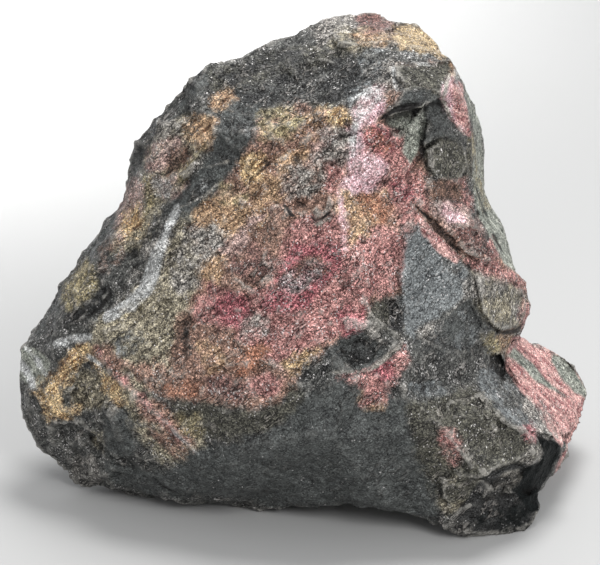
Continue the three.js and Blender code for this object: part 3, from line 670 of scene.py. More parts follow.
# The red slope and its foot.
HEART_ZONES = (
    Zone("slope_rose", ROSE, (292, 222, 318, 214, 338, 216, 350, 250, 366, 240, 380, 226, 402, 236, 402,
        262, 398, 290, 372, 298, 364, 312, 362, 326, 352, 332, 334, 338, 318, 348, 296, 358, 262, 360,
        246, 346, 232, 330, 208, 324, 191, 314, 196, 300, 208, 284, 226, 290, 250, 292, 268, 288, 276,
        268, 282, 244)),
    Zone("red_heart", CRIMSON, (290, 246, 312, 240, 334, 244, 346, 254, 342, 272, 324, 286, 306, 304, 282,
        314, 262, 306, 270, 284, 280, 268), cover=1.6),
    Zone("red_west", CRIMSON, (211, 302, 228, 292, 246, 300, 252, 316, 238, 326, 218, 322), cover=1.4),
    # heart_glitter: painted glints among the red grains.
    Zone("heart_glitter", GLITTER, (276, 284, 286, 274, 300, 265, 314, 260, 324, 265, 320, 277, 306, 286,
        292, 292), cover=0.4),
    Zone("heart_dark", UMBER_AND_SHADE, (270, 288, 284, 274, 298, 260, 320, 257, 325, 272, 308, 288, 288, 297),
        cover=0.0),
    Zone("red_east", CRIMSON, (338, 312, 352, 306, 364, 310, 362, 326, 346, 332), cover=0.0),
    Zone("raised_plum", PLUM, (232, 256, 244, 246, 266, 246, 276, 262, 270, 278, 258, 286, 242, 278, 230,
        270), cover=0.5),
    Zone("west_stripe", TAN, (204, 256, 216, 248, 226, 256, 220, 276, 212, 296, 203, 292, 200, 274)),
    Zone("west_veil", LILAC, (212, 236, 238, 234, 250, 240, 234, 254, 214, 254), cover=0.8),
    Zone("oval", ASH, (242, 322, 256, 316, 268, 322, 268, 334, 254, 340, 242, 334), cover=0.0),
    Zone("brown_sugar", CLAY, (184, 314, 208, 322, 232, 330, 240, 346, 232, 370, 206, 374, 188, 366, 182,
        340)),
    Zone("light_sugar", TAN, (196, 340, 214, 344, 226, 362, 210, 372, 196, 362), cover=0.4),
    Zone("foot_clay", CLAY, (160, 388, 176, 374, 220, 374, 262, 370, 290, 366, 291, 386, 279, 404, 250,
        410, 224, 406, 198, 401, 172, 402)),
    Zone("rust_streak", RUST, (236, 364, 248, 350, 262, 344, 268, 350, 256, 366, 240, 376), cover=0.9),
    Zone("rust_foot", RUST, (166, 380, 184, 380, 202, 388, 196, 398, 172, 396), cover=0.4),
    Zone("foot_gold", OCHRE, (286, 366, 300, 356, 318, 351, 310, 360, 294, 370), cover=0.7),
    Zone("foot_lilac", LILAC, (270, 352, 288, 344, 300, 350, 292, 362, 274, 366), cover=0.7),
    Zone("foot_rose", ROSE, (250, 378, 268, 374, 282, 380, 280, 392, 266, 398, 252, 394), cover=1.2),
    Zone("foot_plum", PLUM, (208, 376, 236, 378, 246, 390, 228, 398, 208, 392), cover=0.5),
    # slit and slit_core: painted shade in the fold of the slit.
    Zone("slit", UMBER_AND_SHADE, (184, 312, 190, 326, 193, 346, 190, 364, 184, 376, 177, 366, 174, 350, 177, 330),
        cover=0.3),
    Zone("slit_core", BLACK_AND_SHADE, (185, 326, 189, 338, 190, 352, 186, 364, 182, 354, 181, 340), cover=-0.1),
)

# The red tongue and the smear.
TONGUE_ZONES = (
    Zone("tongue", ROSE, (336, 378, 360, 375, 378, 367, 392, 355, 404, 346, 409, 352, 407, 368, 394, 384,
        386, 398, 368, 400, 360, 386, 342, 382)),
    Zone("tongue_deep", CRIMSON, (372, 370, 388, 362, 394, 372, 382, 380), cover=0.1),
    Zone("tongue_foot", TAN, (362, 396, 384, 396, 382, 408, 366, 406), cover=0.4),
    Zone("smear", ROSE, (441, 432, 455, 430, 458, 450, 456, 466, 446, 464, 442, 450), cover=0.2),
    Zone("smear_halo", DRAB, (428, 416, 442, 414, 444, 460, 432, 462, 424, 440), cover=0.4),
)

# The slate facets of the shoulder.
SHOULDER_ZONES = (
    Zone("facet_blue", SLATE, (404, 228, 420, 224, 432, 238, 444, 256, 468, 270, 466, 298, 448, 312, 432,
        322, 414, 338, 407, 330, 402, 306, 398, 284, 402, 258)),
    # facet_rim: a painted highlight along the rim of the slate facet.
    Zone("facet_rim", ASH, (446, 262, 466, 274, 466, 298, 446, 316, 420, 336), widths=(0.3, 0.5, 0.3, 0.2,
        0.2), cover=0.2),
    Zone("facet_low", SHALE, (420, 330, 446, 316, 470, 300, 490, 330, 480, 352, 450, 350, 424, 350, 412,
        340), cover=0.3),
    Zone("facet_bloom", SLATE, (424, 334, 446, 320, 468, 306, 482, 330, 470, 346, 444, 344), cover=-0.35),
    # facet_gap: painted shade in the gap between the facets.
    Zone("facet_gap", BLACK_AND_SHADE, (414, 322, 424, 320, 440, 326, 436, 336, 424, 344, 416, 336), cover=-0.1),
    # dome_high, dome_low and dome_core: painted shade in the upper parts of the two dishes, over dark ore;
    # dome_lip: a painted highlight on the lower lip, which faces up.
    Zone("dome_high", BLACK_AND_SHADE, (386, 300, 396, 300, 405, 318, 403, 336, 391, 328, 387, 314)),
    Zone("dome_west", OLIVE, (364, 306, 386, 298, 390, 328, 398, 338, 380, 332, 366, 318), cover=0.8),
    Zone("dome_low", SHALE, (330, 352, 342, 340, 360, 332, 376, 342, 380, 356, 370, 367, 346, 369, 332,
        364)),
    Zone("dome_core", BLACK_AND_SHADE, (337, 352, 346, 342, 362, 336, 374, 344, 376, 354, 364, 364, 346, 366),
        cover=0.0),
    Zone("dome_lip", HIGHLIGHT_AND_PALE_MARK, (334, 372, 352, 372, 370, 370, 384, 360, 396, 349, 404, 342), widths=(0.2, 0.4,
        0.4, 0.5, 0.5, 0.3), cover=0.15),
    Zone("dome_bridge", ASH, (370, 318, 384, 328, 402, 342, 392, 350, 378, 338, 366, 328), cover=-0.1),
    Zone("facet_dark", DRAB, (474, 272, 500, 280, 522, 288, 526, 310, 520, 326, 500, 330, 484, 318, 472,
        300), cover=0.3),
    Zone("east_shadow", CRACK_AND_SHADOW, (484, 320, 494, 329, 504, 333, 516, 331, 523, 324), widths=(0.2, 0.7,
        0.9, 0.9, 0.3), cover=0.1),
    Zone("east_crack", CRACK_AND_SHADOW, (470, 262, 469, 280, 470, 300, 474, 314), widths=(0.2, 0.4, 0.4, 0.2),
        cover=0.05),
    Zone("east_specks", ASH, (476, 276, 500, 284, 514, 292, 512, 308, 492, 308, 478, 296), cover=-0.6),
    Zone("edge_rose", ROSE, (523, 298, 530, 304, 532, 316, 528, 332, 523, 328)),
    Zone("ledge_spot", TAN, (498, 338, 508, 334, 514, 342, 508, 352, 499, 350), cover=1.0),
    Zone("ledge_moss", MOSS, (482, 336, 496, 340, 500, 354, 488, 352), cover=0.5),
    # recess: painted shade in the recess.
    Zone("recess", BLACK_AND_SHADE, (488, 355, 500, 356, 503, 367, 504, 379, 496, 372, 490, 364), cover=0.3),
)

# The banded slab and the black corner.
TAIL_ZONES = (
    Zone("slab_blush", SALMON, (512, 338, 524, 334, 552, 344, 576, 372, 586, 392, 584, 410, 572, 436, 562,
        446, 548, 430, 534, 406, 516, 384, 505, 368, 508, 352)),
    Zone("slab_band", SAGE, (507, 356, 514, 347, 523, 355, 532, 363, 540, 373, 550, 382, 566, 397, 548,
        389, 535, 381, 526, 371, 517, 363), cover=0.9),
    Zone("slab_corner", SAGE, (552, 353, 563, 357, 574, 370, 582, 383, 588, 393, 584, 398, 573, 391, 564,
        382, 557, 372, 550, 362), cover=0.9),
    Zone("slab_stripe", ROSE, (540, 364, 552, 378, 566, 390, 580, 402), widths=(0.7, 1.1, 1.1, 0.9)),
    Zone("slab_edge", SAGE, (528, 341, 542, 347, 554, 354), widths=(0.5, 0.9, 0.9), cover=-0.1),
    Zone("slab_speckle", ASH, (526, 400, 538, 406, 551, 416, 557, 430, 558, 442, 544, 438, 534, 428, 524,
        414), cover=0.1),
    Zone("slab_ridge", SLATE, (482, 372, 494, 370, 504, 374, 516, 382, 530, 394, 538, 406, 540, 428, 522,
        428, 506, 420, 492, 406, 482, 388), cover=0.0),
    Zone("slab_spot", CRIMSON, (522, 428, 532, 423, 540, 430, 536, 440, 526, 440), cover=0.6),
    # grey_face_rim: a painted highlight along the lit lower edge of the grey face.
    Zone("grey_face_rim", HIGHLIGHT_AND_PALE_MARK, (482, 384, 484, 394, 490, 404, 502, 419, 516, 428, 526, 432), widths=(0.2,
        0.3, 0.3, 0.3, 0.3, 0.2), cover=0.05),
    Zone("tail_edge", SALMON, (582, 412, 566, 448, 556, 472, 548, 494), widths=(0.7, 0.7, 0.6, 0.5)),
    Zone("black_corner", GLOSS, (536, 436, 544, 438, 557, 441, 561, 445, 560, 454, 552, 466, 546, 479,
        539, 492, 540, 512, 528, 512, 518, 494, 508, 490, 516, 478, 528, 467, 540, 462, 543, 453, 539,
        444)),
    Zone("black_heel", BLACK_AND_SHADE, (448, 528, 460, 508, 474, 488, 490, 473, 512, 465, 536, 460, 550, 470, 547,
        500, 546, 530, 520, 550, 464, 550)),
    Zone("heel_gloss", GLOSS, (466, 530, 480, 514, 506, 508, 530, 502, 545, 508, 542, 528, 512, 540, 484,
        544), cover=0.0),
    # heel_ledge: a painted highlight along the edge of the heel ledge.
    Zone("heel_ledge", ASH, (486, 475, 508, 466, 538, 458), widths=(0.3, 0.4, 0.3), cover=0.7),
    Zone("heel_chip", QUARTZ, (538, 492, 544, 484, 547, 487, 547, 502, 542, 510, 537, 503)),
    Zone("heel_specks", DRAB, (440, 486, 462, 478, 480, 484, 474, 500, 452, 514, 440, 508), cover=0.1),
    Zone("corner_specks", HIGHLIGHT_AND_PALE_MARK, (492, 486, 504, 475, 518, 470, 522, 476, 512, 490, 498, 498, 488, 496),
        cover=-0.25),
    Zone("ledge_specks", ASH, (526, 450, 536, 446, 543, 452, 542, 462, 530, 462), cover=-0.1),
)

# The dark belly and its green margin.
BELLY_ZONES = (
    Zone("margin", OLIVE, (174, 404, 200, 403, 226, 409, 254, 413, 280, 407, 292, 390, 300, 400, 280, 424,
        240, 440, 204, 436, 182, 420)),
    Zone("belly", SHALE, (210, 440, 240, 442, 290, 400, 340, 380, 410, 404, 436, 470, 440, 520, 340, 512,
        250, 500, 180, 494, 110, 488, 108, 462, 160, 470)),
    Zone("belly_crack", BLACK_AND_SHADE, (289, 388, 281, 407, 267, 428, 247, 441), widths=(0.3, 0.5, 0.5, 0.2),
        cover=0.0),
    Zone("belly_crack_west", CRACK_AND_SHADOW, (153, 477, 162, 486, 176, 492), widths=(0.2, 0.5, 0.3)),
    # plum_ledge: a painted shadow under the ledge.
    Zone("plum_ledge", CRACK_AND_SHADOW, (230, 268, 237, 278, 244, 284, 250, 288, 257, 288), widths=(0.2, 0.4, 0.5,
        0.5, 0.2), cover=0.0),
    Zone("rose_edge", CRACK_AND_SHADOW, (336, 277, 330, 271, 324, 266), widths=(0.2, 0.4, 0.2), cover=0.0),
    Zone("belly_bloom", SLATE, (408, 384, 440, 380, 460, 392, 452, 410, 420, 410), cover=0.3),
)

# The ridge, the ochre band and the jaw.
JAW_ZONES = (
    Zone("ridge_rose", ROSE, (100, 352, 112, 370, 130, 388, 148, 406, 168, 426, 180, 440), widths=(0.7,
        0.9, 1.4, 1.4, 1.1, 0.7), cover=0.3),
    Zone("ridge_frost", QUARTZ, (88, 356, 100, 364, 110, 374), widths=(0.3, 0.5, 0.3)),
    Zone("ridge_frost_low", QUARTZ, (172, 430, 184, 442, 198, 454), widths=(0.3, 0.5, 0.3)),
    Zone("ridge_clay", CLAY, (136, 400, 166, 408, 190, 432, 206, 460, 196, 468, 170, 454, 148, 432),
        cover=1.0),
    Zone("ridge_moss", MOSS, (176, 414, 196, 414, 204, 430, 196, 440, 180, 430), cover=0.4),
    Zone("jaw_slate", SHALE, (104, 410, 122, 406, 134, 424, 138, 452, 118, 462, 104, 446)),
    Zone("jaw_mottle", DRAB, (92, 424, 104, 430, 102, 448, 94, 446), cover=0.4),
    Zone("jaw_specks", ASH, (76, 462, 92, 458, 96, 478, 84, 486, 74, 476), cover=-0.4),
    Zone("jaw_band", OCHRE, (37, 392, 43, 380, 58, 366, 72, 352, 84, 344, 88, 352, 74, 370, 65, 388, 66,
        402, 78, 408, 72, 418, 62, 422, 50, 419, 41, 408)),
    Zone("jaw_grey", DRAB, (68, 392, 82, 366, 95, 372, 107, 388, 111, 402, 102, 412, 80, 412, 72, 402)),
    Zone("jaw_olive", OCHRE, (98, 364, 110, 380, 124, 396, 114, 404, 104, 388), cover=0.5),
    Zone("jaw_spot", OCHRE, (115, 398, 126, 394, 134, 402, 128, 408, 117, 406), cover=0.9),
    Zone("tip_sage", SAGE, (16, 356, 26, 346, 38, 350, 50, 362, 46, 380, 34, 390, 20, 378), cover=0.9),
    Zone("tip_streak", QUARTZ, (19, 360, 27, 372, 33, 386), widths=(1.1, 1.8, 1.4), cover=0.4),
    Zone("tip_streak_high", QUARTZ, (26, 348, 37, 360, 46, 374), widths=(0.7, 1.1, 0.9), cover=0.2),
    Zone("tip_veil", QUARTZ, (58, 345, 72, 339, 88, 337), widths=(1.6, 1.8, 1.1), cover=0.0),
)

# The west flank and its white vein.
FLANK_ZONES = (
    Zone("vein", QUARTZ, (178, 206, 172, 222, 165, 236, 158, 252, 152, 272, 146, 290, 130, 305, 106, 318),
        widths=(0.9, 1.6, 1.8, 2.8, 3.7, 3.2, 3.0, 2.1), cover=0.35),
    Zone("vein_core", QUARTZ, (176, 212, 170, 226, 160, 250, 154, 272), widths=(0.5, 0.9, 1.1, 0.9),
        cover=0.6),
    Zone("vein_halo", ASH, (168, 232, 150, 258, 140, 284, 122, 306), widths=(1.8, 5.0, 5.0, 2.8),
        cover=0.1),
    # west_border and west_rim: dark ore, and painted shade on the faces that turn away along the west
    # outline.
    Zone("west_border", SHALE, (208, 72, 172, 112, 134, 156, 118, 204, 88, 250, 60, 292, 34, 330),
        widths=(1.8, 3.2, 3.7, 3.7, 4.1, 4.1, 3.2), cover=0.8),
    Zone("west_rim", BLACK_AND_SHADE, (204, 70, 168, 110, 128, 160, 114, 204, 84, 250, 56, 292, 30, 332),
        widths=(1.1, 1.8, 2.3, 2.1, 2.5, 2.5, 1.8), cover=0.1),
    Zone("flank_ash", ASH, (186, 230, 214, 222, 228, 232, 208, 262, 196, 286, 178, 294, 172, 272, 180,
        246), cover=0.5),
    Zone("flank_blue", SLATE, (116, 342, 132, 330, 146, 332, 140, 350, 120, 356), cover=-0.3),
    Zone("flank_green", MOSS, (112, 323, 124, 316, 138, 308), widths=(0.7, 0.9, 0.6)),
    Zone("flank_clay", CLAY, (94, 348, 112, 346, 126, 366, 116, 376, 100, 362), cover=0.6),
    Zone("flank_brown", CLAY, (130, 368, 160, 362, 182, 372, 170, 386, 150, 386), cover=0.7),
    Zone("flank_moss", MOSS, (60, 292, 70, 274, 84, 260, 98, 272, 98, 290, 84, 304, 66, 312), cover=0.8),
    Zone("flank_shadow", BLACK_AND_SHADE, (96, 292, 108, 284, 116, 292, 104, 308, 84, 322, 64, 326, 62, 316, 84,
        308), cover=0.7),
    # flank_gap: a painted shadow in the gap of the flank.
    Zone("flank_gap", CRACK_AND_SHADOW, (108, 284, 110, 294, 102, 306, 92, 314), widths=(0.3, 0.9, 0.9, 0.3),
        cover=0.2),
    Zone("band_crack", CRACK_AND_SHADOW, (184, 176, 196, 160, 208, 140), widths=(0.2, 0.4, 0.2), cover=0.0),
    Zone("flank_lilac", LILAC, (127, 180, 138, 174, 146, 186, 142, 206, 132, 226, 119, 232, 118, 214),
        cover=0.9),
    Zone("flank_gold", OCHRE, (124, 216, 136, 208, 142, 222, 138, 238, 126, 242, 119, 234), cover=1.0),
    Zone("flank_gold_high", MOSS, (144, 178, 154, 174, 154, 212, 146, 214), cover=0.6),
    Zone("flank_bloom", LILAC, (150, 178, 165, 176, 180, 178, 188, 182, 178, 194, 164, 198, 152, 190),
        cover=0.3),
    Zone("flank_frost", QUARTZ, (152, 182, 164, 177, 172, 186, 168, 196, 156, 196), cover=-0.1),
    Zone("band_fleck", QUARTZ, (242, 124, 249, 125, 250, 137, 244, 135), cover=0.0),
    Zone("band_fleck_low", QUARTZ, (200, 180, 208, 181, 207, 190, 201, 192), cover=0.0),
    Zone("band_vein", HIGHLIGHT_AND_PALE_MARK, (180, 174, 196, 168, 212, 166, 228, 161), widths=(0.2, 0.3, 0.3, 0.2),
        cover=-0.05),
    Zone("band_vein_low", HIGHLIGHT_AND_PALE_MARK, (176, 209, 190, 203, 204, 196, 218, 184), widths=(0.2, 0.3, 0.3, 0.2),
        cover=-0.05),
    Zone("hollow_lilac", LILAC, (150, 144, 168, 138, 182, 138, 176, 156, 160, 172, 146, 170), cover=0.7),
    # flank_hollow: painted shade in the hollow of the flank.
    Zone("flank_hollow", UMBER_AND_SHADE, (172, 148, 188, 144, 190, 158, 178, 172, 166, 178, 162, 168), cover=0.5),
    Zone("hollow_ash", ASH, (144, 132, 170, 122, 190, 118, 186, 130, 164, 140, 146, 144), cover=0.3),
    Zone("hollow_tan", TAN, (188, 124, 204, 116, 217, 118, 214, 134, 206, 148, 196, 148, 188, 138)),
    Zone("hollow_moss", MOSS, (206, 146, 192, 162, 184, 176, 174, 188), widths=(0.9, 0.9, 0.9, 0.7),
        cover=0.6),
    # hollow_rim: a painted highlight on the lit edge of the dark band beside the hollow.
    Zone("hollow_rim", ASH, (213, 134, 205, 150, 192, 170, 180, 186, 166, 198), widths=(0.3, 0.5, 0.5,
        0.5, 0.3), cover=0.7),
    Zone("knob_tan", TAN, (212, 98, 222, 90, 233, 90, 234, 100, 222, 108, 212, 108), cover=0.8),
    Zone("flank_low", CLAY, (96, 248, 112, 236, 124, 244, 118, 262, 100, 268), cover=0.1),
    Zone("dark_band", SHALE, (236, 90, 262, 96, 258, 126, 240, 160, 218, 190, 192, 214, 178, 222, 160,
        214, 184, 184, 206, 150, 220, 120)),
    Zone("dark_band_deep", BLACK_AND_SHADE, (242, 94, 256, 100, 252, 124, 238, 154, 218, 182, 200, 202, 190, 200,
        208, 174, 226, 140), cover=-0.1),
)

# Every zone of the front.
ZONES = (
    *GROUND_ZONES, *CROWN_ZONES, *ROOF_ZONES, *BROW_ZONES, *NOTCH_ZONES, *SIDE_ZONES, *CHEEK_ZONES,
        *LIP_ZONES, *SLOPE_ZONES, *HEART_ZONES, *TONGUE_ZONES, *SHOULDER_ZONES, *TAIL_ZONES, *BELLY_ZONES,
        *JAW_ZONES, *FLANK_ZONES,
)

# The bodies of mineral that the far faces cut.
POCKETS = (
    Pocket("back_ground", DRAB, (-20.0, 25.0, 45.0), (42.0, 24.0, 20.0), 10.0, 30.0, 0.6),
    Pocket("back_clay", CLAY, (5.0, 25.0, 62.0), (26.0, 20.0, 9.0), -15.0, 55.0, 1.2),
    Pocket("back_rose", ROSE, (2.0, 24.0, 58.0), (22.0, 18.0, 6.0), -15.0, 55.0, 2.0),
    Pocket("back_crimson", CRIMSON, (6.0, 26.0, 56.0), (9.0, 12.0, 4.0), -15.0, 55.0, 1.5),
    Pocket("tail_band", SALMON, (48.0, 18.0, 22.0), (26.0, 30.0, 5.0), 20.0, 50.0, 2.0),
    Pocket("tail_band_low", ROSE, (44.0, 24.0, 10.0), (22.0, 26.0, 3.5), 20.0, 50.0, 1.5),
    Pocket("west_tan", TAN, (-40.0, 18.0, 52.0), (12.0, 18.0, 7.0), 30.0, 40.0, 1.2),
    Pocket("west_vein", QUARTZ, (-44.0, 12.0, 34.0), (22.0, 26.0, 1.6), 35.0, 60.0, 1.2),
    Pocket("back_ochre", OCHRE, (-18.0, 30.0, 30.0), (13.0, 16.0, 5.0), 0.0, 40.0, 1.4),
    Pocket("back_slate", SLATE, (28.0, 28.0, 40.0), (22.0, 18.0, 16.0), 0.0, 20.0, 1.0),
    Pocket("back_ash", ASH, (-6.0, 30.0, 84.0), (18.0, 18.0, 3.0), 20.0, 60.0, 0.8),
    Pocket("back_vein", QUARTZ, (14.0, 30.0, 30.0), (30.0, 24.0, 1.1), 40.0, 65.0, 1.0),
    Pocket("foot_olive", OLIVE, (0.0, 10.0, 4.0), (55.0, 32.0, 9.0), 0.0, 0.0, 1.0),
    Pocket("foot_clay", CLAY, (-24.0, 6.0, 0.0), (18.0, 12.0, 8.0), 25.0, 0.0, 1.0),
    Pocket("foot_rose", ROSE, (-22.0, 6.0, 0.0), (12.0, 7.0, 6.0), 25.0, 0.0, 1.2),
    Pocket("crown_back", TAN, (24.0, 10.0, 108.0), (14.0, 16.0, 7.0), 0.0, 0.0, 1.2),
)

# The ledges, ridges, cracks and grooves of the front.
FOLDS = (
    Fold("slit", (184, 314, 186, 334, 186, 352, 184, 374), -1.0, width=4.0),
    Fold("groove", (408, 198, 422, 212, 436, 224, 448, 238, 462, 252, 478, 260), -0.9, width=0.8),
    Fold("groove_step", (470, 262, 452, 248, 436, 232, 420, 218), 0.7, reach=3.0),
    Fold("brow_gap", (378, 119, 394, 110, 410, 104, 424, 103), -0.9, width=0.7),
    Fold("side_crack", (476, 180, 481, 196, 488, 222, 496, 240, 502, 252), -0.8, width=0.5),
    Fold("veil_crack", (328, 143, 338, 138, 350, 135, 360, 131), -0.6, width=0.5),
    Fold("ledge_high", (292, 150, 276, 160, 262, 172), 0.7, reach=2.5),
    Fold("lip_west", (294, 214, 288, 208, 282, 205, 270, 203), 1.3, reach=3.0),
    Fold("lip_east", (312, 222, 322, 220, 330, 211, 334, 200), 1.2, reach=2.5),
    Fold("plum_ledge", (274, 272, 265, 281, 256, 289, 248, 287, 243, 281, 236, 277, 230, 268), 0.9,
        reach=3.5),
    Fold("slab_edge", (526, 431, 516, 428, 502, 419, 488, 403, 482, 386), 0.9, reach=2.5),
    Fold("dome_lip", (336, 372, 352, 372, 366, 370, 379, 363, 392, 351, 403, 343), 0.8, reach=2.0),
    Fold("crown_step", (334, 52, 352, 50, 370, 46, 386, 44, 402, 49, 432, 54), 0.8, reach=3.0),
    Fold("crown_seam", (348, 36, 364, 41, 380, 42), -0.6, width=0.6),
    Fold("band_edge", (164, 202, 178, 192, 190, 176, 200, 158, 210, 140, 217, 124), 0.9, reach=2.5),
    Fold("facet_fold", (404, 230, 400, 262, 399, 290, 406, 326), -0.5, width=0.9),
    Fold("margin_step", (262, 404, 248, 410, 230, 410, 212, 405, 190, 403, 174, 404), 0.6, reach=2.0),
    Fold("heart_foot", (364, 322, 342, 337, 322, 352, 300, 364, 290, 374), 0.5, reach=2.0),
    Fold("west_ridge", (92, 354, 108, 368, 126, 386, 146, 402, 164, 418, 184, 438, 200, 458), 0.7,
        width=1.6),
    Fold("belly_crack", (290, 388, 281, 407, 267, 428, 247, 441), -0.3, width=0.5),
    Fold("crack_west", (152, 477, 162, 486, 174, 491), -0.8, width=0.6),
    Fold("crack_tip", (112, 462, 122, 466, 132, 470), -0.6, width=0.4),
    Fold("flank_shelf", (104, 286, 100, 304, 84, 319), -1.0, width=1.0),
    Fold("flank_ridge", (112, 288, 98, 306, 78, 322, 60, 328), 0.8, width=1.2),
    Fold("roof_rib", (292, 65, 306, 62, 322, 61, 338, 64), 0.5, width=0.7),
    Fold("heel_ledge", (540, 457, 522, 461, 505, 468, 487, 476), 0.6, reach=2.0),
    Fold("brow_edge", (391, 66, 392, 80, 396, 92), 0.6, width=0.8),
    Fold("vein_rise", (168, 232, 160, 256, 150, 280, 132, 300, 110, 318), 0.5, width=2.4),
    Fold("jaw_edge", (112, 404, 118, 420, 124, 440), 0.8, width=1.4),
)

# The low mounds and hollows of the front.
SWELLS = (
    Swell("hollow", (292, 198, 308, 190, 326, 194, 332, 206, 318, 214, 300, 212), -0.5, 2.0),
    Swell("gold_lump", (244, 158, 258, 154, 264, 166, 258, 178, 246, 176), 0.7, 1.5),
    Swell("tan_lump", (373, 184, 384, 180, 391, 186, 388, 196, 374, 196), 0.6, 1.2),
    Swell("oval", (242, 322, 256, 316, 268, 322, 268, 334, 254, 340, 242, 334), 0.5, 1.0),
    Swell("ochre_band", (42, 386, 60, 366, 78, 350, 72, 372, 64, 394, 70, 412, 50, 410), 0.6, 1.4),
    Swell("flank_hollow", (168, 150, 188, 142, 192, 154, 178, 172, 164, 176), -0.9, 1.8),
    Swell("flank_pocket", (124, 246, 138, 244, 140, 256, 128, 260), -0.8, 1.4),
    Swell("plum_patch", (236, 256, 250, 246, 268, 250, 272, 268, 256, 280, 240, 272), 0.3, 1.5),
    Swell("lilac_lump", (358, 158, 374, 152, 386, 164, 384, 180, 370, 188, 358, 178), 0.6, 2.0),
    Swell("beak_strip", (448, 92, 456, 82, 462, 92, 466, 118, 468, 132, 456, 116), 0.5, 1.2),
)

# Where the outline is pulled out or in, round the lump from the foot of the west side.
PULLS = (
    Pull(51, 448, -7, 0), Pull(39, 430, -9, 0), Pull(29, 406, -7, 0), Pull(22, 380, -4, 0),
    Pull(23, 356, -5, 0), Pull(40, 328, -3, -1), Pull(56, 306, -6, -2), Pull(70, 280, -5, -1),
    Pull(86, 256, -6, -2), Pull(98, 232, 0, 0), Pull(106, 212, 6, 2), Pull(118, 190, 6, 1),
    Pull(129, 168, 0, 0), Pull(138, 148, -6, -2), Pull(157, 130, -9, -4), Pull(176, 107, -6, -3),
    Pull(192, 87, -4, -3), Pull(214, 68, -2, -4), Pull(240, 64, -1, -4), Pull(262, 56, -3, -9),
    Pull(284, 48, -3, -10), Pull(306, 37, -3, -8), Pull(328, 26, -2, -5), Pull(352, 20, 0, -4),
    Pull(374, 14, 0, 0), Pull(396, 19, 0, 5), Pull(416, 27, 0, 1), Pull(436, 46, 1, -3),
    Pull(464, 58, -9, 3), Pull(464, 76, -4, 0), Pull(466, 100, 4, 0), Pull(478, 124, 0, 0),
    Pull(487, 168, -4, 0), Pull(490, 192, -4, 0), Pull(500, 214, -8, 0), Pull(508, 236, -1, 0),
    Pull(520, 262, -2, 0), Pull(529, 294, -3, 0), Pull(526, 316, 3, 0), Pull(534, 340, -5, 1),
    Pull(566, 364, 2, -2), Pull(583, 390, 2, 0), Pull(576, 414, 7, 0), Pull(567, 438, 5, 0),
    Pull(563, 462, -4, 0), Pull(562, 490, -14, 0), Pull(548, 512, -6, 0),
)

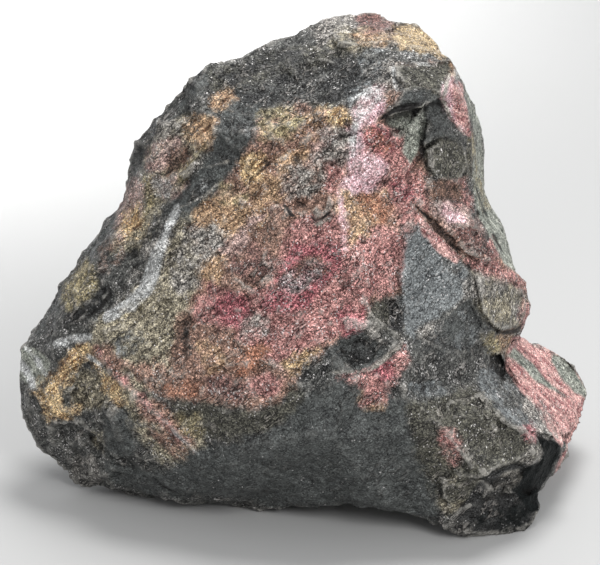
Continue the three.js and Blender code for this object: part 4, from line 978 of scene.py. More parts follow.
# The flat faces of the front.
FACETS = (
    Facet("slit_face", (138, 326, 176, 316, 204, 322, 206, 372, 180, 380, 146, 374, 134, 350), 0.3,
        edge=2.5),
    Facet("brow_face", (394, 66, 424, 62, 454, 60, 457, 78, 441, 96, 424, 87, 404, 86, 396, 78), 0.3),
    Facet("brow_under", (404, 87, 424, 88, 441, 97, 424, 103, 402, 110, 397, 100), -0.4, lean=(0.0,
        0.25)),
    Facet("brow_foot", (379, 90, 392, 87, 400, 96, 399, 108, 382, 114, 374, 104), 0.3),
    Facet("notch_face", (383, 119, 411, 110, 408, 130, 400, 141, 388, 132), 0.0, lean=(0.2, -0.3)),
    Facet("notch_west", (423, 104, 426, 122, 421, 148, 411, 166, 402, 152, 408, 126), 0.5, lean=(0.3,
        0.1)),
    Facet("notch_east", (424, 104, 441, 103, 455, 124, 450, 138, 438, 140, 421, 150, 426, 124), 1.0,
        lean=(-0.25, -0.25)),
    Facet("cheek", (425, 149, 440, 139, 463, 142, 470, 168, 456, 184, 437, 180, 427, 166), 1.0),
    Facet("cheek_foot", (428, 182, 458, 185, 472, 206, 452, 204, 430, 198), -0.3),
    Facet("bulge", (428, 200, 452, 198, 472, 212, 484, 234, 462, 232, 440, 220), 0.6, edge=1.2),
    Facet("bulge_foot", (446, 226, 470, 226, 488, 238, 496, 256, 480, 260, 462, 250), -0.3),
    Facet("slate_face", (404, 229, 420, 225, 444, 246, 468, 270, 466, 298, 446, 314, 414, 338, 403, 310,
        399, 284, 402, 256), 0.0),
    Facet("slate_low", (420, 338, 446, 318, 468, 301, 488, 330, 478, 352, 448, 350), -0.5),
    Facet("east_face", (474, 274, 500, 280, 523, 288, 526, 308, 518, 328, 499, 332, 482, 314), 0.4),
    Facet("east_lip", (484, 318, 499, 334, 502, 352, 488, 352, 476, 336), 0.3),
    Facet("dome_high", (384, 300, 396, 300, 405, 318, 402, 335, 390, 326), -0.4, bowl=0.5),
    Facet("dome_low", (331, 354, 343, 341, 361, 335, 377, 343, 380, 357, 368, 367, 346, 369), -0.4,
        bowl=0.4, edge=0.8),
    Facet("bridge", (366, 318, 380, 328, 402, 343, 391, 351, 378, 340, 364, 332), 0.5),
    Facet("tongue", (376, 368, 392, 355, 404, 346, 409, 353, 406, 368, 392, 385, 380, 384), 0.3),
    Facet("recess", (487, 354, 501, 354, 506, 366, 503, 381, 491, 369), -1.6),
    Facet("grey_face", (483, 384, 492, 378, 503, 378, 520, 392, 540, 414, 556, 438, 540, 434, 524, 430,
        516, 427, 502, 418, 489, 403), 0.3),
    Facet("slab", (512, 340, 530, 338, 550, 347, 572, 364, 585, 392, 572, 434, 558, 436, 540, 410, 518,
        385, 508, 368), 0.2),
    Facet("foot_plane", (444, 402, 480, 392, 502, 420, 528, 434, 536, 454, 505, 465, 470, 470, 448, 440),
        0.0),
    Facet("corner", (541, 438, 558, 441, 560, 462, 547, 489, 522, 496, 502, 491, 523, 474, 539, 460),
        -0.1),
    Facet("heel", (458, 513, 482, 499, 520, 494, 541, 506, 534, 526, 500, 536, 464, 534), 0.0),
    Facet("belly_face", (226, 450, 280, 424, 330, 420, 340, 470, 284, 494, 226, 490), 0.0, edge=6.0),
    Facet("heel_west", (440, 476, 484, 478, 498, 492, 478, 499, 456, 510, 441, 498), 0.1),
    Facet("jaw_face", (104, 410, 122, 407, 134, 424, 138, 450, 118, 460, 104, 444), 0.3),
    Facet("jaw_grey", (70, 394, 82, 368, 95, 374, 106, 390, 109, 402, 80, 408), -0.7),
    Facet("tip", (20, 358, 30, 348, 48, 362, 45, 380, 34, 390, 22, 378), 0.2),
    Facet("jaw_low", (60, 425, 84, 424, 96, 446, 90, 478, 70, 462), -0.2),
    Facet("flank_grey", (118, 340, 134, 330, 148, 333, 142, 352, 122, 356), 0.2),
    Facet("crown", (338, 48, 372, 45, 392, 30, 384, 20, 352, 20, 330, 34), 0.2),
    Facet("stripe", (340, 196, 362, 198, 376, 212, 370, 252, 358, 276, 346, 250), 0.3),
)

# How coarse the break is, from place to place on the front.
RUGGED_AREAS = (
    Rugged("slope", (250, 120, 340, 112, 400, 160, 410, 290, 340, 340, 290, 400, 190, 400, 184, 300), 0.6,
        1.1, 1.5),
    Rugged("belly", (200, 440, 290, 392, 400, 390, 440, 440, 440, 512, 180, 494, 130, 470), 0.35, 0.3,
        0.7),
    Rugged("jaw", (20, 400, 60, 420, 110, 400, 150, 470, 100, 492, 60, 476), 1.0, 1.1, 1.0),
    Rugged("tip", (16, 350, 60, 330, 90, 350, 60, 420, 20, 400), 0.6, 1.0, 1.1),
    Rugged("brow", (380, 60, 460, 56, 470, 140, 440, 200, 400, 150), 0.12, 0.4, 1.0),
    Rugged("roof", (196, 100, 256, 44, 330, 14, 400, 14, 452, 56, 360, 100, 260, 110), 0.2, 0.5, 0.8),
    Rugged("side", (460, 84, 486, 100, 500, 190, 530, 270, 496, 256, 470, 190), 0.12, 0.3, 0.8),
    Rugged("shoulder", (400, 225, 470, 262, 528, 290, 520, 340, 470, 390, 400, 380), 0.2, 0.5, 1.0),
    Rugged("slab", (506, 345, 548, 345, 586, 392, 562, 440, 520, 400), 0.15, 0.5, 0.9),
    Rugged("heel", (440, 470, 540, 440, 560, 450, 530, 535, 450, 530), 0.35, 0.7, 0.8),
    Rugged("flank", (200, 80, 240, 110, 150, 300, 60, 330, 50, 300, 120, 170), 0.7, 0.9, 1.1),
)


class Skin:
    """The surface of the stone as arrays: places and normals in mm, and what shows on the picture plane."""

    # The least that a vertex may face the eye (as a cosine) and still be seen.
    FACING = -0.15
    # How far out a line of sight starts, and how near (mm) it may still touch the stone's own face.
    LIFT = 0.3
    CLEARANCE = 0.6
    # How much of its own place a vertex keeps in each round of smoothing.
    OWN_SHARE = 0.4

    def __init__(self, piece: bpy.types.Object) -> None:
        """Reads the piece's mesh.

        Args:
            piece: the mesh object, at the origin.
        """
        self.piece = piece
        self.count = len(piece.data.vertices)
        self.read()
        self.seen = self.find_seen()
        self.spots = VIEW.project(self.places)

    def read(self) -> None:
        """Reads places and normals again after the mesh has changed."""
        mesh = self.piece.data
        mesh.update()
        flat = np.empty(self.count * 3)
        mesh.vertices.foreach_get("co", flat)
        self.places = flat.reshape(-1, 3) / MM
        flat = np.empty(self.count * 3)
        mesh.vertex_normals.foreach_get("vector", flat)
        self.normals = flat.reshape(-1, 3)

    def write(self) -> None:
        """Puts the places back into the mesh, within the box of the solid."""
        low, high = (np.array(corner) / MM for corner in CAD_BOX)
        self.places = np.clip(self.places, low, high)
        self.piece.data.vertices.foreach_set("co", (self.places * MM).ravel())
        self.read()

    def depths(self, outline: Line) -> np.ndarray:
        """Measures how deep (mm) each vertex lies inside an outline on the picture plane."""
        return patch_depth(self.spots, outline) / VIEW.pixels_per_mm

    def find_seen(self) -> np.ndarray:
        """Finds the vertices that the eye of the picture sees.

        Returns:
            True or false per vertex.
        """
        mesh = self.piece.data
        corners = [vertex.co for vertex in mesh.vertices]
        tree = BVHTree.FromPolygons(corners, [tuple(face.vertices) for face in mesh.polygons], epsilon=0.0)
        eye = Vector(VIEW.eye * MM)
        seen = np.zeros(self.count, dtype=bool)
        for index in np.flatnonzero(self.normals @ VIEW.back > self.FACING):
            start = Vector((self.places[index] + self.normals[index] * self.LIFT) * MM)
            toward = eye - start
            hit = tree.ray_cast(start, toward.normalized(), toward.length)
            seen[index] = hit[0] is None or hit[3] < self.CLEARANCE * MM
        return seen

    def front_links(self) -> tuple[np.ndarray, np.ndarray]:
        """Ties each vertex to the nearest one that is seen.

        Returns:
            The number of that vertex, and how far away it is in mm.
        """
        seen = np.flatnonzero(self.seen)
        tree = KDTree(len(seen))
        for index, place in enumerate(self.places[seen]):
            tree.insert(place, index)
        tree.balance()
        nearest = np.arange(self.count)
        away = np.zeros(self.count)
        for index in np.flatnonzero(~self.seen):
            _, match, distance = tree.find(self.places[index])
            nearest[index] = seen[match]
            away[index] = distance
        return nearest, away

    def eased(self, rounds: int) -> np.ndarray:
        """Smooths a copy of the places by averaging each with its neighbours.

        Args:
            rounds: how many times it is done.

        Returns:
            The smoothed places in mm.
        """
        edges = np.empty(len(self.piece.data.edges) * 2, dtype=np.int64)
        self.piece.data.edges.foreach_get("vertices", edges)
        near, far = edges.reshape(-1, 2).T
        ends, others = np.concatenate((near, far)), np.concatenate((far, near))
        degree = np.bincount(ends, minlength=self.count)
        places = self.places.copy()
        for _ in range(rounds):
            sums = [np.bincount(ends, places[others, axis], self.count) for axis in range(3)]
            middles = np.stack(sums, axis=1) / degree[:, None]
            places = self.OWN_SHARE * places + (1.0 - self.OWN_SHARE) * middles
        return places

    def hollowness(self, rounds: int) -> np.ndarray:
        """Tells hollows (above 0, in mm) from edges (below 0) at the scale that so many rounds reach."""
        return np.sum((self.eased(rounds) - self.places) * self.normals, axis=1)


class Relief:
    """The broken surface: ledges, cracks, scars and grain, moved out of the smooth faces."""

    # How far a pull on the outline reaches, in pixels.
    PULL_REACH = 13.0
    # How much of the way to its plane a facet is pressed, and the fewest vertices that it needs.
    PRESS = 0.85
    FEWEST = 12
    # Width (mm) of the edge of a step, how quickly a fold grows from its ends, and from what share.
    STEP_EDGE = 0.6
    END_GROWTH = 5.0
    END_START = 0.1
    # How far outside its outline a form sets in, as a share of the width of its edge.
    OVERLAP = 0.3
    # Shares of big scars, small scars and grain where no area says otherwise.
    COARSENESS = (0.6, 0.9, 1.5)
    # Width (mm) over which one coarseness gives way to the next, and how fast it ends behind the edges.
    COARSENESS_EDGE = 4.0
    FADE = 0.5
    # The roof, how its ribs slant across X, Y and Z, and how much longer they are than wide.
    ROOF = (200, 96, 232, 56, 320, 16, 350, 40, 400, 48, 360, 100, 290, 108)
    ROOF_SLANT = ((0.10, 0.25, 1.0), (0.0, 1.0, 0.0), (0.0, 0.0, 1.0))
    ROOF_STRETCH = (1.0, 0.35, 1.0)
    ROOF_EDGE = 3.0

    def __init__(self, skin: Skin) -> None:
        """Takes the surface that is to be shaped."""
        self.skin = skin

    def move(self, heights: np.ndarray) -> None:
        """Moves the surface along its normals by heights in mm."""
        self.skin.places = self.skin.places + self.skin.normals * heights[:, None]
        self.skin.write()

    def stretch(self) -> None:
        """Pulls the outline into shape; the pull fades out over the faces behind it."""
        skin = self.skin
        total = np.zeros(skin.count)
        shift = np.zeros((skin.count, 2))
        for pull in PULLS:
            away = skin.spots - np.array((pull.across, pull.down))
            weight = np.exp(-np.sum(away**2, axis=1) / (2.0 * self.PULL_REACH**2))
            total += weight
            shift += weight[:, None] * np.array((pull.pulled_right, pull.pulled_down))
        shift = shift / np.maximum(total, 1.0)[:, None] / VIEW.pixels_per_mm
        skin.places = skin.places + shift[:, :1] * RIGHT - shift[:, 1:] * VIEW.up
        skin.write()
        skin.spots = VIEW.project(skin.places)

    def press(self) -> None:
        """Presses each facet to its own mean plane, along the line of sight."""
        skin = self.skin
        picture_axes = np.stack((RIGHT, VIEW.up, VIEW.back), axis=1)
        for facet in FACETS:
            depth = np.where(skin.seen, skin.depths(facet.outline), -1.0)
            inside = depth > 0.0
            if inside.sum() < self.FEWEST:
                log.info("facet %s covers too little", facet.name)
                continue
            across = (skin.places - skin.places[inside].mean(axis=0)) @ picture_axes
            sides = np.column_stack((across[inside][:, :2], np.ones(inside.sum())))
            slope = np.linalg.lstsq(sides, across[inside][:, 2], rcond=None)[0]
            plane = across[:, :2] @ (slope[:2] + np.array(facet.lean)) + slope[2]
            scoop = facet.bowl * smooth_step(depth / depth.max())
            target = plane + (facet.rise - scoop) * math.hypot(1.0, *slope[:2])
            share = smooth_step(depth / facet.edge) * self.PRESS
            skin.places = skin.places + VIEW.back * ((target - across[:, 2]) * share)[:, None]
        skin.write()

    def fold_heights(self, fold: Fold) -> np.ndarray:
        """Works out one fold's heights over the whole surface.

        Args:
            fold: the ledge, ridge or furrow.

        Returns:
            One height per vertex in mm.
        """
        spots = self.skin.spots
        nearest = np.full(len(spots), np.inf)
        travelled = np.zeros(len(spots))
        side = np.zeros(len(spots))
        points = stops(fold.route)
        whole = sum(math.dist(start, end) for start, end in zip(points, points[1:]))
        passed = 0.0
        for start, end in zip(points, points[1:]):
            distance, along = segment_distances(spots, start, end)
            length = math.dist(start, end)
            closer = distance < nearest
            across, down = (spots - np.array(start)).T
            turn = (end[0] - start[0]) * down - (end[1] - start[1]) * across
            nearest = np.where(closer, distance, nearest)
            travelled = np.where(closer, (passed + along * length) / whole, travelled)
            side = np.where(closer, -np.sign(turn), side)
            passed += length
        taper = smooth_step(np.minimum(travelled, 1.0 - travelled) * self.END_GROWTH + self.END_START)
        distance = nearest / VIEW.pixels_per_mm
        if fold.reach:
            shape = smooth_step(0.5 + side * distance / self.STEP_EDGE) * np.exp(-distance / fold.reach)
        else:
            shape = np.exp(-((distance * 2.0 / fold.width) ** 2))
        return fold.height * shape * taper * (1.0 + WAVER.waves(self.skin.places))

    def draw(self) -> None:
        """Shapes the swells and the folds of the front."""
        heights = np.zeros(self.skin.count)
        for swell in SWELLS:
            inside = smooth_step(self.skin.depths(swell.outline) / swell.edge + self.OVERLAP)
            heights += swell.height * inside
        for fold in FOLDS:
            heights += self.fold_heights(fold)
        self.move(np.where(self.skin.seen, heights, 0.0))

    def coarseness(self) -> list[np.ndarray]:
        """Spreads the shares of big scars, small scars and grain over the surface.

        Returns:
            The three shares, each with one value per vertex.
        """
        shares = [np.full(self.skin.count, share) for share in self.COARSENESS]
        near, away = self.skin.front_links()
        for area in RUGGED_AREAS:
            depth = self.skin.depths(area.outline)[near] - away * self.FADE
            inside = smooth_step(depth / self.COARSENESS_EDGE + 0.5)
            for share, here in zip(shares, (area.big, area.small, area.grain)):
                share += (here - share) * inside
        return shares

    def roof_lines(self) -> np.ndarray:
        """Works out the long wavy ribs that run across the roof.

        Returns:
            One height per vertex in mm.
        """
        inside = smooth_step(self.skin.depths(self.ROOF) / self.ROOF_EDGE + self.OVERLAP)
        turned = self.skin.places @ np.array(self.ROOF_SLANT)
        lines = ROOF_RIBS.waves(turned * np.array(self.ROOF_STRETCH)) + WIDE_ROOF_RIBS.waves(turned)
        return np.where(self.skin.seen, inside, 0.0) * lines

    def break_up(self) -> None:
        """Breaks the faces into scars, from the biggest down to the grain."""
        big, small, grain = self.coarseness()
        bend = BEND.bend(self.skin.places)
        fine_bend = FINE_BEND.bend(self.skin.places)
        bent = self.skin.places + bend
        self.move(big * (BIG_SCARS.scars(bent) + MIDDLE_SCARS.scars(bent)))
        self.move(small * SMALL_SCARS.scars(self.skin.places + fine_bend) + self.roof_lines())
        self.move(grain * (GRAIN.waves(self.skin.places) + WIDE_GRAIN.waves(self.skin.places)))

    def build(self) -> None:
        """Shapes the whole relief."""
        self.stretch()
        self.press()
        self.draw()
        self.break_up()


class Sheets:
    """How deep each mineral lies at each vertex: drawn on the front, cut from pockets on the far faces."""

    # How far (mm) a pocket stays from what the front shows.
    POCKET_GAP = 2.0
    # Rounds of smoothing that tell small hollows and edges, and wide dells.
    HOLLOW_ROUNDS = 14
    DELL_ROUNDS = 60

    def __init__(self, skin: Skin) -> None:
        """Takes the finished surface."""
        self.skin = skin
        self.spots = VIEW.project(skin.places)
        self.nearest, self.away = skin.front_links()

    def front_depth(self, zone: Zone) -> np.ndarray:
        """Lays one zone onto the surface, and lets it run on a little around the edges.

        Args:
            zone: the patch or streak.

        Returns:
            One depth per vertex in mm.
        """
        scale = VIEW.pixels_per_mm
        if zone.widths:
            depth = streak_depth(self.spots, zone.outline, np.array(zone.widths) * scale) / scale
        else:
            depth = patch_depth(self.spots, zone.outline) / scale
        return np.minimum(depth, zone.cover)[self.nearest] - self.away

    def build(self) -> None:
        """Stores one depth in mm per mineral and vertex, and how hollow the surface is."""
        depths = {mineral: np.full(self.skin.count, -FARTHEST) for mineral in Mineral}
        for zone in ZONES:
            depths[zone.mineral] = np.maximum(depths[zone.mineral], self.front_depth(zone))
        for pocket in POCKETS:
            depth = np.minimum(pocket.depth(self.skin.places), pocket.cover)
            depth = np.minimum(depth, self.away - self.POCKET_GAP)
            depths[pocket.mineral] = np.maximum(depths[pocket.mineral], depth)
        for mineral, depth in depths.items():
            self.store(mineral.name.lower(), np.clip(depth, -FARTHEST, FARTHEST))
        self.store("hollow", self.skin.hollowness(self.HOLLOW_ROUNDS))
        self.store("dell", self.skin.hollowness(self.DELL_ROUNDS))

    def store(self, name: str, values: np.ndarray) -> None:
        """Stores one value per vertex under a name."""
        layer = self.skin.piece.data.attributes.new(name, "FLOAT", "POINT")
        layer.data.foreach_set("value", values.astype(np.float32))


def paint(red: int, green: int, blue: int) -> tuple[float, float, float, float]:
    """Turns a display colour into the linear colour that a shader takes.

    Args:
        red: the red share, from 0 to 255.
        green: the green share.
        blue: the blue share.

    Returns:
        Red, green, blue and an alpha of 1.
    """
    parts = [channel / 255 for channel in (red, green, blue)]
    linear = [part / 12.92 if part <= 0.04045 else ((part + 0.055) / 1.055) ** 2.4 for part in parts]
    return (*linear, 1.0)


# How strongly the dark grains and the painted glints show.
SHADOW_SHARE = 0.65
GLINT_SHARE = 0.6

# What a finish's mottle, blend, grain and strand come to in the tone of the stone.
MOTTLE_GAIN = 0.45
BLEND_GAIN = 0.65
GRAIN_GAIN = 0.85
STRAND_GAIN = 1.1
FINE_BLEND = 0.6

# The turn (radians) from one mineral to the next of the direction in which its edge frays.
FRAY_TURN = 2.4
FRAY_TILT = 1.7

GRAIN_SHADOW = paint(26, 24, 24)
# The colour of the painted glints.
PAINTED_GLINT = paint(214, 210, 208)
# The colours of painted highlights along crests and on convex edges.
CREST_HIGHLIGHT = paint(214, 206, 198)
EDGE_HIGHLIGHT = paint(200, 196, 188)
CRACK_DARK = paint(16, 14, 14)
# The colour of painted shade in hollows and dells.
HOLLOW_SHADE = paint(20, 18, 17)


@dataclass(frozen=True)
class Finish:
    """How one mineral looks: two tones, how they mix, and how rough and grainy it is.

    mottle, blend and grain are how much the wide patches, the fine mix and the single grains shift the
    tone; pale is the share of grains painted as glints, small pale flashes of light, and dark the share of
    grains that stay dark. rough is the roughness of its surface, bump the share of the fine relief that it
    shows, and glint how much it shines. fray and soft (mm) are how ragged and how blurred its edge is.
    strand is how strongly it is drawn out into strands, which rise to the right where it is above 0 and
    fall where it is below.
    """

    low: tuple[int, int, int]
    high: tuple[int, int, int]
    mottle: float = 0.5
    blend: float = 0.6
    grain: float = 0.5
    pale: float = 0.05
    dark: float = 0.08
    rough: float = 0.55
    bump: float = 0.5
    glint: float = 0.35
    fray: float = 1.0
    soft: float = 1.3
    strand: float = 0.5

    @property
    def traits(self) -> Place:
        """Roughness, relief and shine, as the three parts of one vector."""
        return (self.rough, self.bump, self.glint)


ORE = Finish((13, 14, 14), (103, 103, 99), 0.5, 0.7, 0.55, 0.06, 0.10, 0.5, 0.5, 0.5, strand=1.0)
FINISHES = {
    DRAB: Finish((58, 52, 40), (194, 184, 160), 0.65, 0.7, 0.45, 0.03, 0.05, strand=0.8),
    CLAY: Finish((74, 50, 40), (188, 152, 135), 0.65, 0.7, 0.45, 0.03, 0.06, strand=0.8),
    SLATE: Finish((45, 49, 52), (148, 152, 152), 0.45, 0.6, 0.45, 0.03, 0.05, 0.45, 0.3,
        fray=0.7, soft=0.6),
    SHALE: Finish((26, 28, 29), (100, 103, 101), 0.5, 0.5, 0.35, 0.004, 0.06, 0.5, 0.28, strand=0.2),
    OLIVE: Finish((24, 24, 20), (106, 104, 93), 0.5, 0.7, 0.5, 0.025, 0.10, strand=0.3),
    TAN: Finish((100, 71, 50), (218, 184, 149), 0.65, 0.65, 0.36, 0.04, 0.05, strand=1.1),
    LILAC: Finish((98, 78, 75), (224, 192, 182), 0.65, 0.6, 0.4, 0.05, 0.05, strand=0.9),
    ROSE: Finish((98, 56, 56), (216, 162, 155), 0.65, 0.7, 0.5, 0.05, 0.05, strand=0.7),
    SALMON: Finish((136, 82, 83), (226, 182, 174), 0.5, 0.7, 0.5, 0.04, 0.05, 0.5, 0.35,
        fray=0.2, soft=0.45, strand=-1.2),
    BLUSH: Finish((186, 128, 134), (255, 230, 236), 0.5, 0.6, 0.4, 0.06, 0.05, 0.5, 0.4,
        fray=0.6, soft=0.9, strand=0.6),
    SAGE: Finish((78, 84, 77), (178, 180, 168), 0.4, 0.6, 0.4, 0.02, 0.08, 0.5, 0.35,
        fray=0.2, soft=0.45, strand=-1.2),
    MOSS: Finish((66, 59, 38), (190, 176, 138), 0.6, 0.7, 0.45, 0.03, 0.05, strand=1.0),
    OCHRE: Finish((124, 89, 54), (244, 214, 166), 0.65, 0.7, 0.4, 0.04, 0.05, strand=1.0),
    BUFF: Finish((98, 77, 53), (222, 198, 158), 0.6, 0.6, 0.35, 0.05, 0.05, 0.5, 0.4,
        fray=0.6, soft=0.9, strand=0.6),
    CRIMSON: Finish((90, 37, 45), (206, 130, 135), 0.6, 0.7, 0.6, 0.06, 0.07, strand=0.7),
    PLUM: Finish((54, 36, 36), (160, 122, 114), 0.5, 0.7, 0.5, 0.04, 0.12),
    RUST: Finish((116, 72, 52), (208, 152, 126), 0.6, 0.6, 0.35, 0.04, 0.10),
    ASH: Finish((62, 59, 56), (190, 184, 176), 0.5, 0.7, 0.6, 0.06, 0.12, strand=0.9),
    # Umber: a dark brown, used for painted shade in hollows, grooves and the slit.
    UMBER_AND_SHADE: Finish((42, 32, 27), (152, 120, 104), 0.5, 0.6, 0.5, 0.02, 0.10, fray=0.6, soft=0.8),
    # Glitter: many grains painted as glints.
    GLITTER: Finish((40, 26, 29), (196, 166, 166), 0.4, 0.6, 1.1, 0.30, 0.25, fray=0.6, soft=0.8),
    QUARTZ: Finish((112, 113, 112), (236, 237, 235), 0.55, 0.6, 0.35, 0.06, 0.06, 0.4, 0.28,
        fray=0.3, soft=0.5),
    # Black: black ore, and painted shade in recesses, gaps and dishes.
    BLACK_AND_SHADE: Finish((9, 10, 11), (66, 66, 65), 0.4, 0.6, 0.5, 0.02, 0.06, 0.4,
        fray=0.35, soft=0.4, strand=0.2),
    GLOSS: Finish((4, 5, 5), (33, 36, 36), 0.4, 0.5, 0.3, 0.0, 0.0, 0.5, 0.2, 0.06,
        fray=0.25, soft=0.35, strand=0.2),
    # Dark lines: real cracks, and painted shadow under lips, ledges and overhangs.
    CRACK_AND_SHADOW: Finish((8, 7, 7), (30, 27, 25), 0.4, 0.4, 0.2, 0.0, 0.0, 0.6, 0.2,
        fray=0.07, soft=0.2, strand=0.1),
    # Pale lines: painted highlights on lit edges and lips, and a few pale veins and specks.
    HIGHLIGHT_AND_PALE_MARK: Finish((122, 118, 110), (208, 202, 192), 0.4, 0.6, 0.3, 0.05, 0.04, 0.5, 0.3,
        fray=0.3, soft=0.35),
}


class Sketch:
    """A shader's node tree as it is drawn: it adds nodes and joins them."""

    # How rough noise is, and the gain that widens it from near 0.5 to its full swing.
    ROUGHNESS = 0.6
    NOISE_GAIN = 4.4

    def __init__(self, tree: bpy.types.NodeTree) -> None:
        """Starts on an empty tree."""
        self.tree = tree
        tree.nodes.clear()

    def node(self, kind: str, inputs: dict | None = None, **settings: object) -> bpy.types.Node:
        """Adds a node.

        Args:
            kind: the node's type name after "ShaderNode", or after "Node" for a group's own ends.
            inputs: sockets to join or values to set, by input name or number.
            settings: the node's own properties.

        Returns:
            The new node.
        """
        ends = kind in ("GroupInput", "GroupOutput")
        added = self.tree.nodes.new(("Node" if ends else "ShaderNode") + kind)
        for name, value in settings.items():
            setattr(added, name, value)
        for name, value in (inputs or {}).items():
            self.feed(added.inputs[name], value)
        return added

    def feed(self, socket: bpy.types.NodeSocket, value: object) -> None:
        """Joins a socket to another one, or sets its value.

        Args:
            socket: the input that is fed.
            value: an output socket, or a constant.
        """
        if isinstance(value, bpy.types.NodeSocket):
            self.tree.links.new(value, socket)
        else:
            socket.default_value = value

    def calc(self, operation: str, *terms: object, clamp: bool = False) -> bpy.types.NodeSocket:
        """Adds a math node with its terms."""
        return self.node("Math", dict(enumerate(terms)), operation=operation, use_clamp=clamp).outputs[0]

    def times(self, first: object, second: object) -> bpy.types.NodeSocket:
        """Multiplies two values."""
        return self.calc("MULTIPLY", first, second)

    def vector(self, operation: str, first: object, second: object = None) -> bpy.types.NodeSocket:
        """Adds a vector math node.

        Args:
            operation: Blender's name for what it does.
            first: a vector.
            second: the other vector, or a plain number for a scale.

        Returns:
            The result, a plain number for a dot product.
        """
        inputs = {0: first}
        if second is not None:
            inputs["Scale" if operation == "SCALE" else 1] = second
        added = self.node("VectorMath", inputs, operation=operation)
        return added.outputs["Value" if operation == "DOT_PRODUCT" else "Vector"]

    def spread(
        self, value: object, low: float, high: float, bottom: float = 0.0, top: float = 1.0
    ) -> bpy.types.NodeSocket:
        """Maps a value smoothly from one range to another and holds it there."""
        inputs = {"Value": value, "From Min": low, "From Max": high, "To Min": bottom, "To Max": top}
        return self.node("MapRange", inputs, interpolation_type="SMOOTHSTEP").outputs["Result"]

    def mix(self, share: object, first: object, second: object, blend: str = "MIX") -> bpy.types.NodeSocket:
        """Mixes two colours."""
        inputs = {0: share, 6: first, 7: second}
        return self.node("Mix", inputs, data_type="RGBA", blend_type=blend).outputs[2]

    def noise(
        self, places: object, size: float, detail: float = 2.0, out: str = "Fac"
    ) -> bpy.types.NodeSocket:
        """Adds noise whose waves are size mm wide."""
        inputs = {"Vector": places, "Scale": 1.0 / size, "Detail": detail, "Roughness": self.ROUGHNESS}
        return self.node("TexNoise", inputs).outputs[out]

    def swing(self, noise: bpy.types.NodeSocket) -> bpy.types.NodeSocket:
        """Widens noise, which lies near 0.5, to swing from about -1 to 1."""
        return self.calc("MULTIPLY_ADD", noise, self.NOISE_GAIN, -self.NOISE_GAIN / 2)

    def centred(self, color: bpy.types.NodeSocket) -> bpy.types.NodeSocket:
        """Turns a random colour into a random shift with its middle at 0."""
        return self.vector("SUBTRACT", color, (0.5, 0.5, 0.5))

    def cells(
        self, places: object, size: float, out: str = "Color", feature: str = "F1"
    ) -> bpy.types.NodeSocket:
        """Adds a pattern of grains that are size mm wide."""
        inputs = {"Vector": places, "Scale": 1.0 / size}
        return self.node("TexVoronoi", inputs, feature=feature).outputs[out]

    def stretched(self, places: object, turn: float, size: Place) -> bpy.types.NodeSocket:
        """Draws a pattern out to size mm along each axis, turned by so many degrees about the Y axis."""
        inputs = {"Vector": places, "Rotation": (0.0, math.radians(turn), 0.0), "Scale": size}
        return self.node("Mapping", inputs, vector_type="TEXTURE").outputs["Vector"]

    def contour(
        self, waves: bpy.types.NodeSocket, level: float, core: float, edge: float
    ) -> bpy.types.NodeSocket:
        """Draws a thin line where waves pass a level, full within core of it and gone at edge."""
        away = self.calc("ABSOLUTE", self.calc("SUBTRACT", waves, level))
        return self.spread(away, core, edge, 1.0, 0.0)

    def attribute(self, name: str) -> bpy.types.NodeSocket:
        """Reads one of the mesh's own values."""
        return self.node("Attribute", attribute_name=name).outputs["Fac"]


def new_group(
    name: str, takes: dict[str, str], gives: dict[str, str]
) -> tuple[bpy.types.NodeTree, Sketch]:
    """Starts a node group.

    Args:
        name: the group's name.
        takes: its input sockets, name to type.
        gives: its output sockets, name to type.

    Returns:
        The group and the sketch of its inside.
    """
    group = bpy.data.node_groups.new(name, "ShaderNodeTree")
    for in_out, sockets in (("INPUT", takes), ("OUTPUT", gives)):
        for label, kind in sockets.items():
            group.interface.new_socket(label, in_out=in_out, socket_type="NodeSocket" + kind)
    return group, Sketch(group)


@dataclass(frozen=True)
class Pattern:
    """The patterns that all minerals share: sizes in mm, turns about the Y axis in degrees.

    The sways are how far (mm) a pattern shifts the edges of the minerals, or bends the crystals and
    cracks. The tones are how much the grains count in the tone, and the reliefs how high each pattern
    stands in the bump. grit is darker or lighter than its middle by powers of its contrast. The ranges
    are the values of noise between which a pattern sets in; the lines are where cracks and crests run in
    it, with the half widths of their cores and of their edges.
    """

    wide_fray: float = 11.0
    fray: float = 3.2
    grain: float = 0.58
    small_grain: float = 0.3
    grit: float = 0.25
    patch: float = 4.6
    blend: float = 1.2
    cluster: float = 3.6
    fine_relief: float = 0.45
    rolling_relief: float = 1.7
    seam_patch: float = 2.6
    crack_patch: float = 5.5
    strand: Place = (6.0, 2.5, 0.6)
    crystal: Place = (2.1, 1.3, 1.1)
    crack: Place = (5.5, 3.0, 2.0)
    strand_turn: float = 42.0
    crystal_turn: float = -48.0
    crack_turn: float = -44.0
    noise_sway: float = 4.5
    grain_sway: float = 0.35
    small_grain_sway: float = 0.5
    bend_sway: float = 1.6
    grain_tone: float = 0.3
    small_grain_tone: float = 1.7
    noise_height: float = 0.6
    grain_height: float = -0.45
    rolling_height: float = 1.4
    seam_height: float = -0.5
    ledge_height: float = 1.2
    grit_contrast: float = 6.0
    grit_middle: float = 0.56
    seam_width: float = 0.09
    tone_detail: float = 3.0
    crack_detail: float = 2.5
    seam_range: tuple[float, float] = (0.44, 0.6)
    crack_range: tuple[float, float] = (0.46, 0.62)
    ledge_range: tuple[float, float] = (0.47, 0.55)
    cluster_range: tuple[float, float] = (0.46, 0.68)
    cluster_gain: tuple[float, float] = (0.15, 3.0)
    crack_line: Place = (0.5, 0.012, 0.034)
    crest_line: Place = (0.55, 0.008, 0.03)


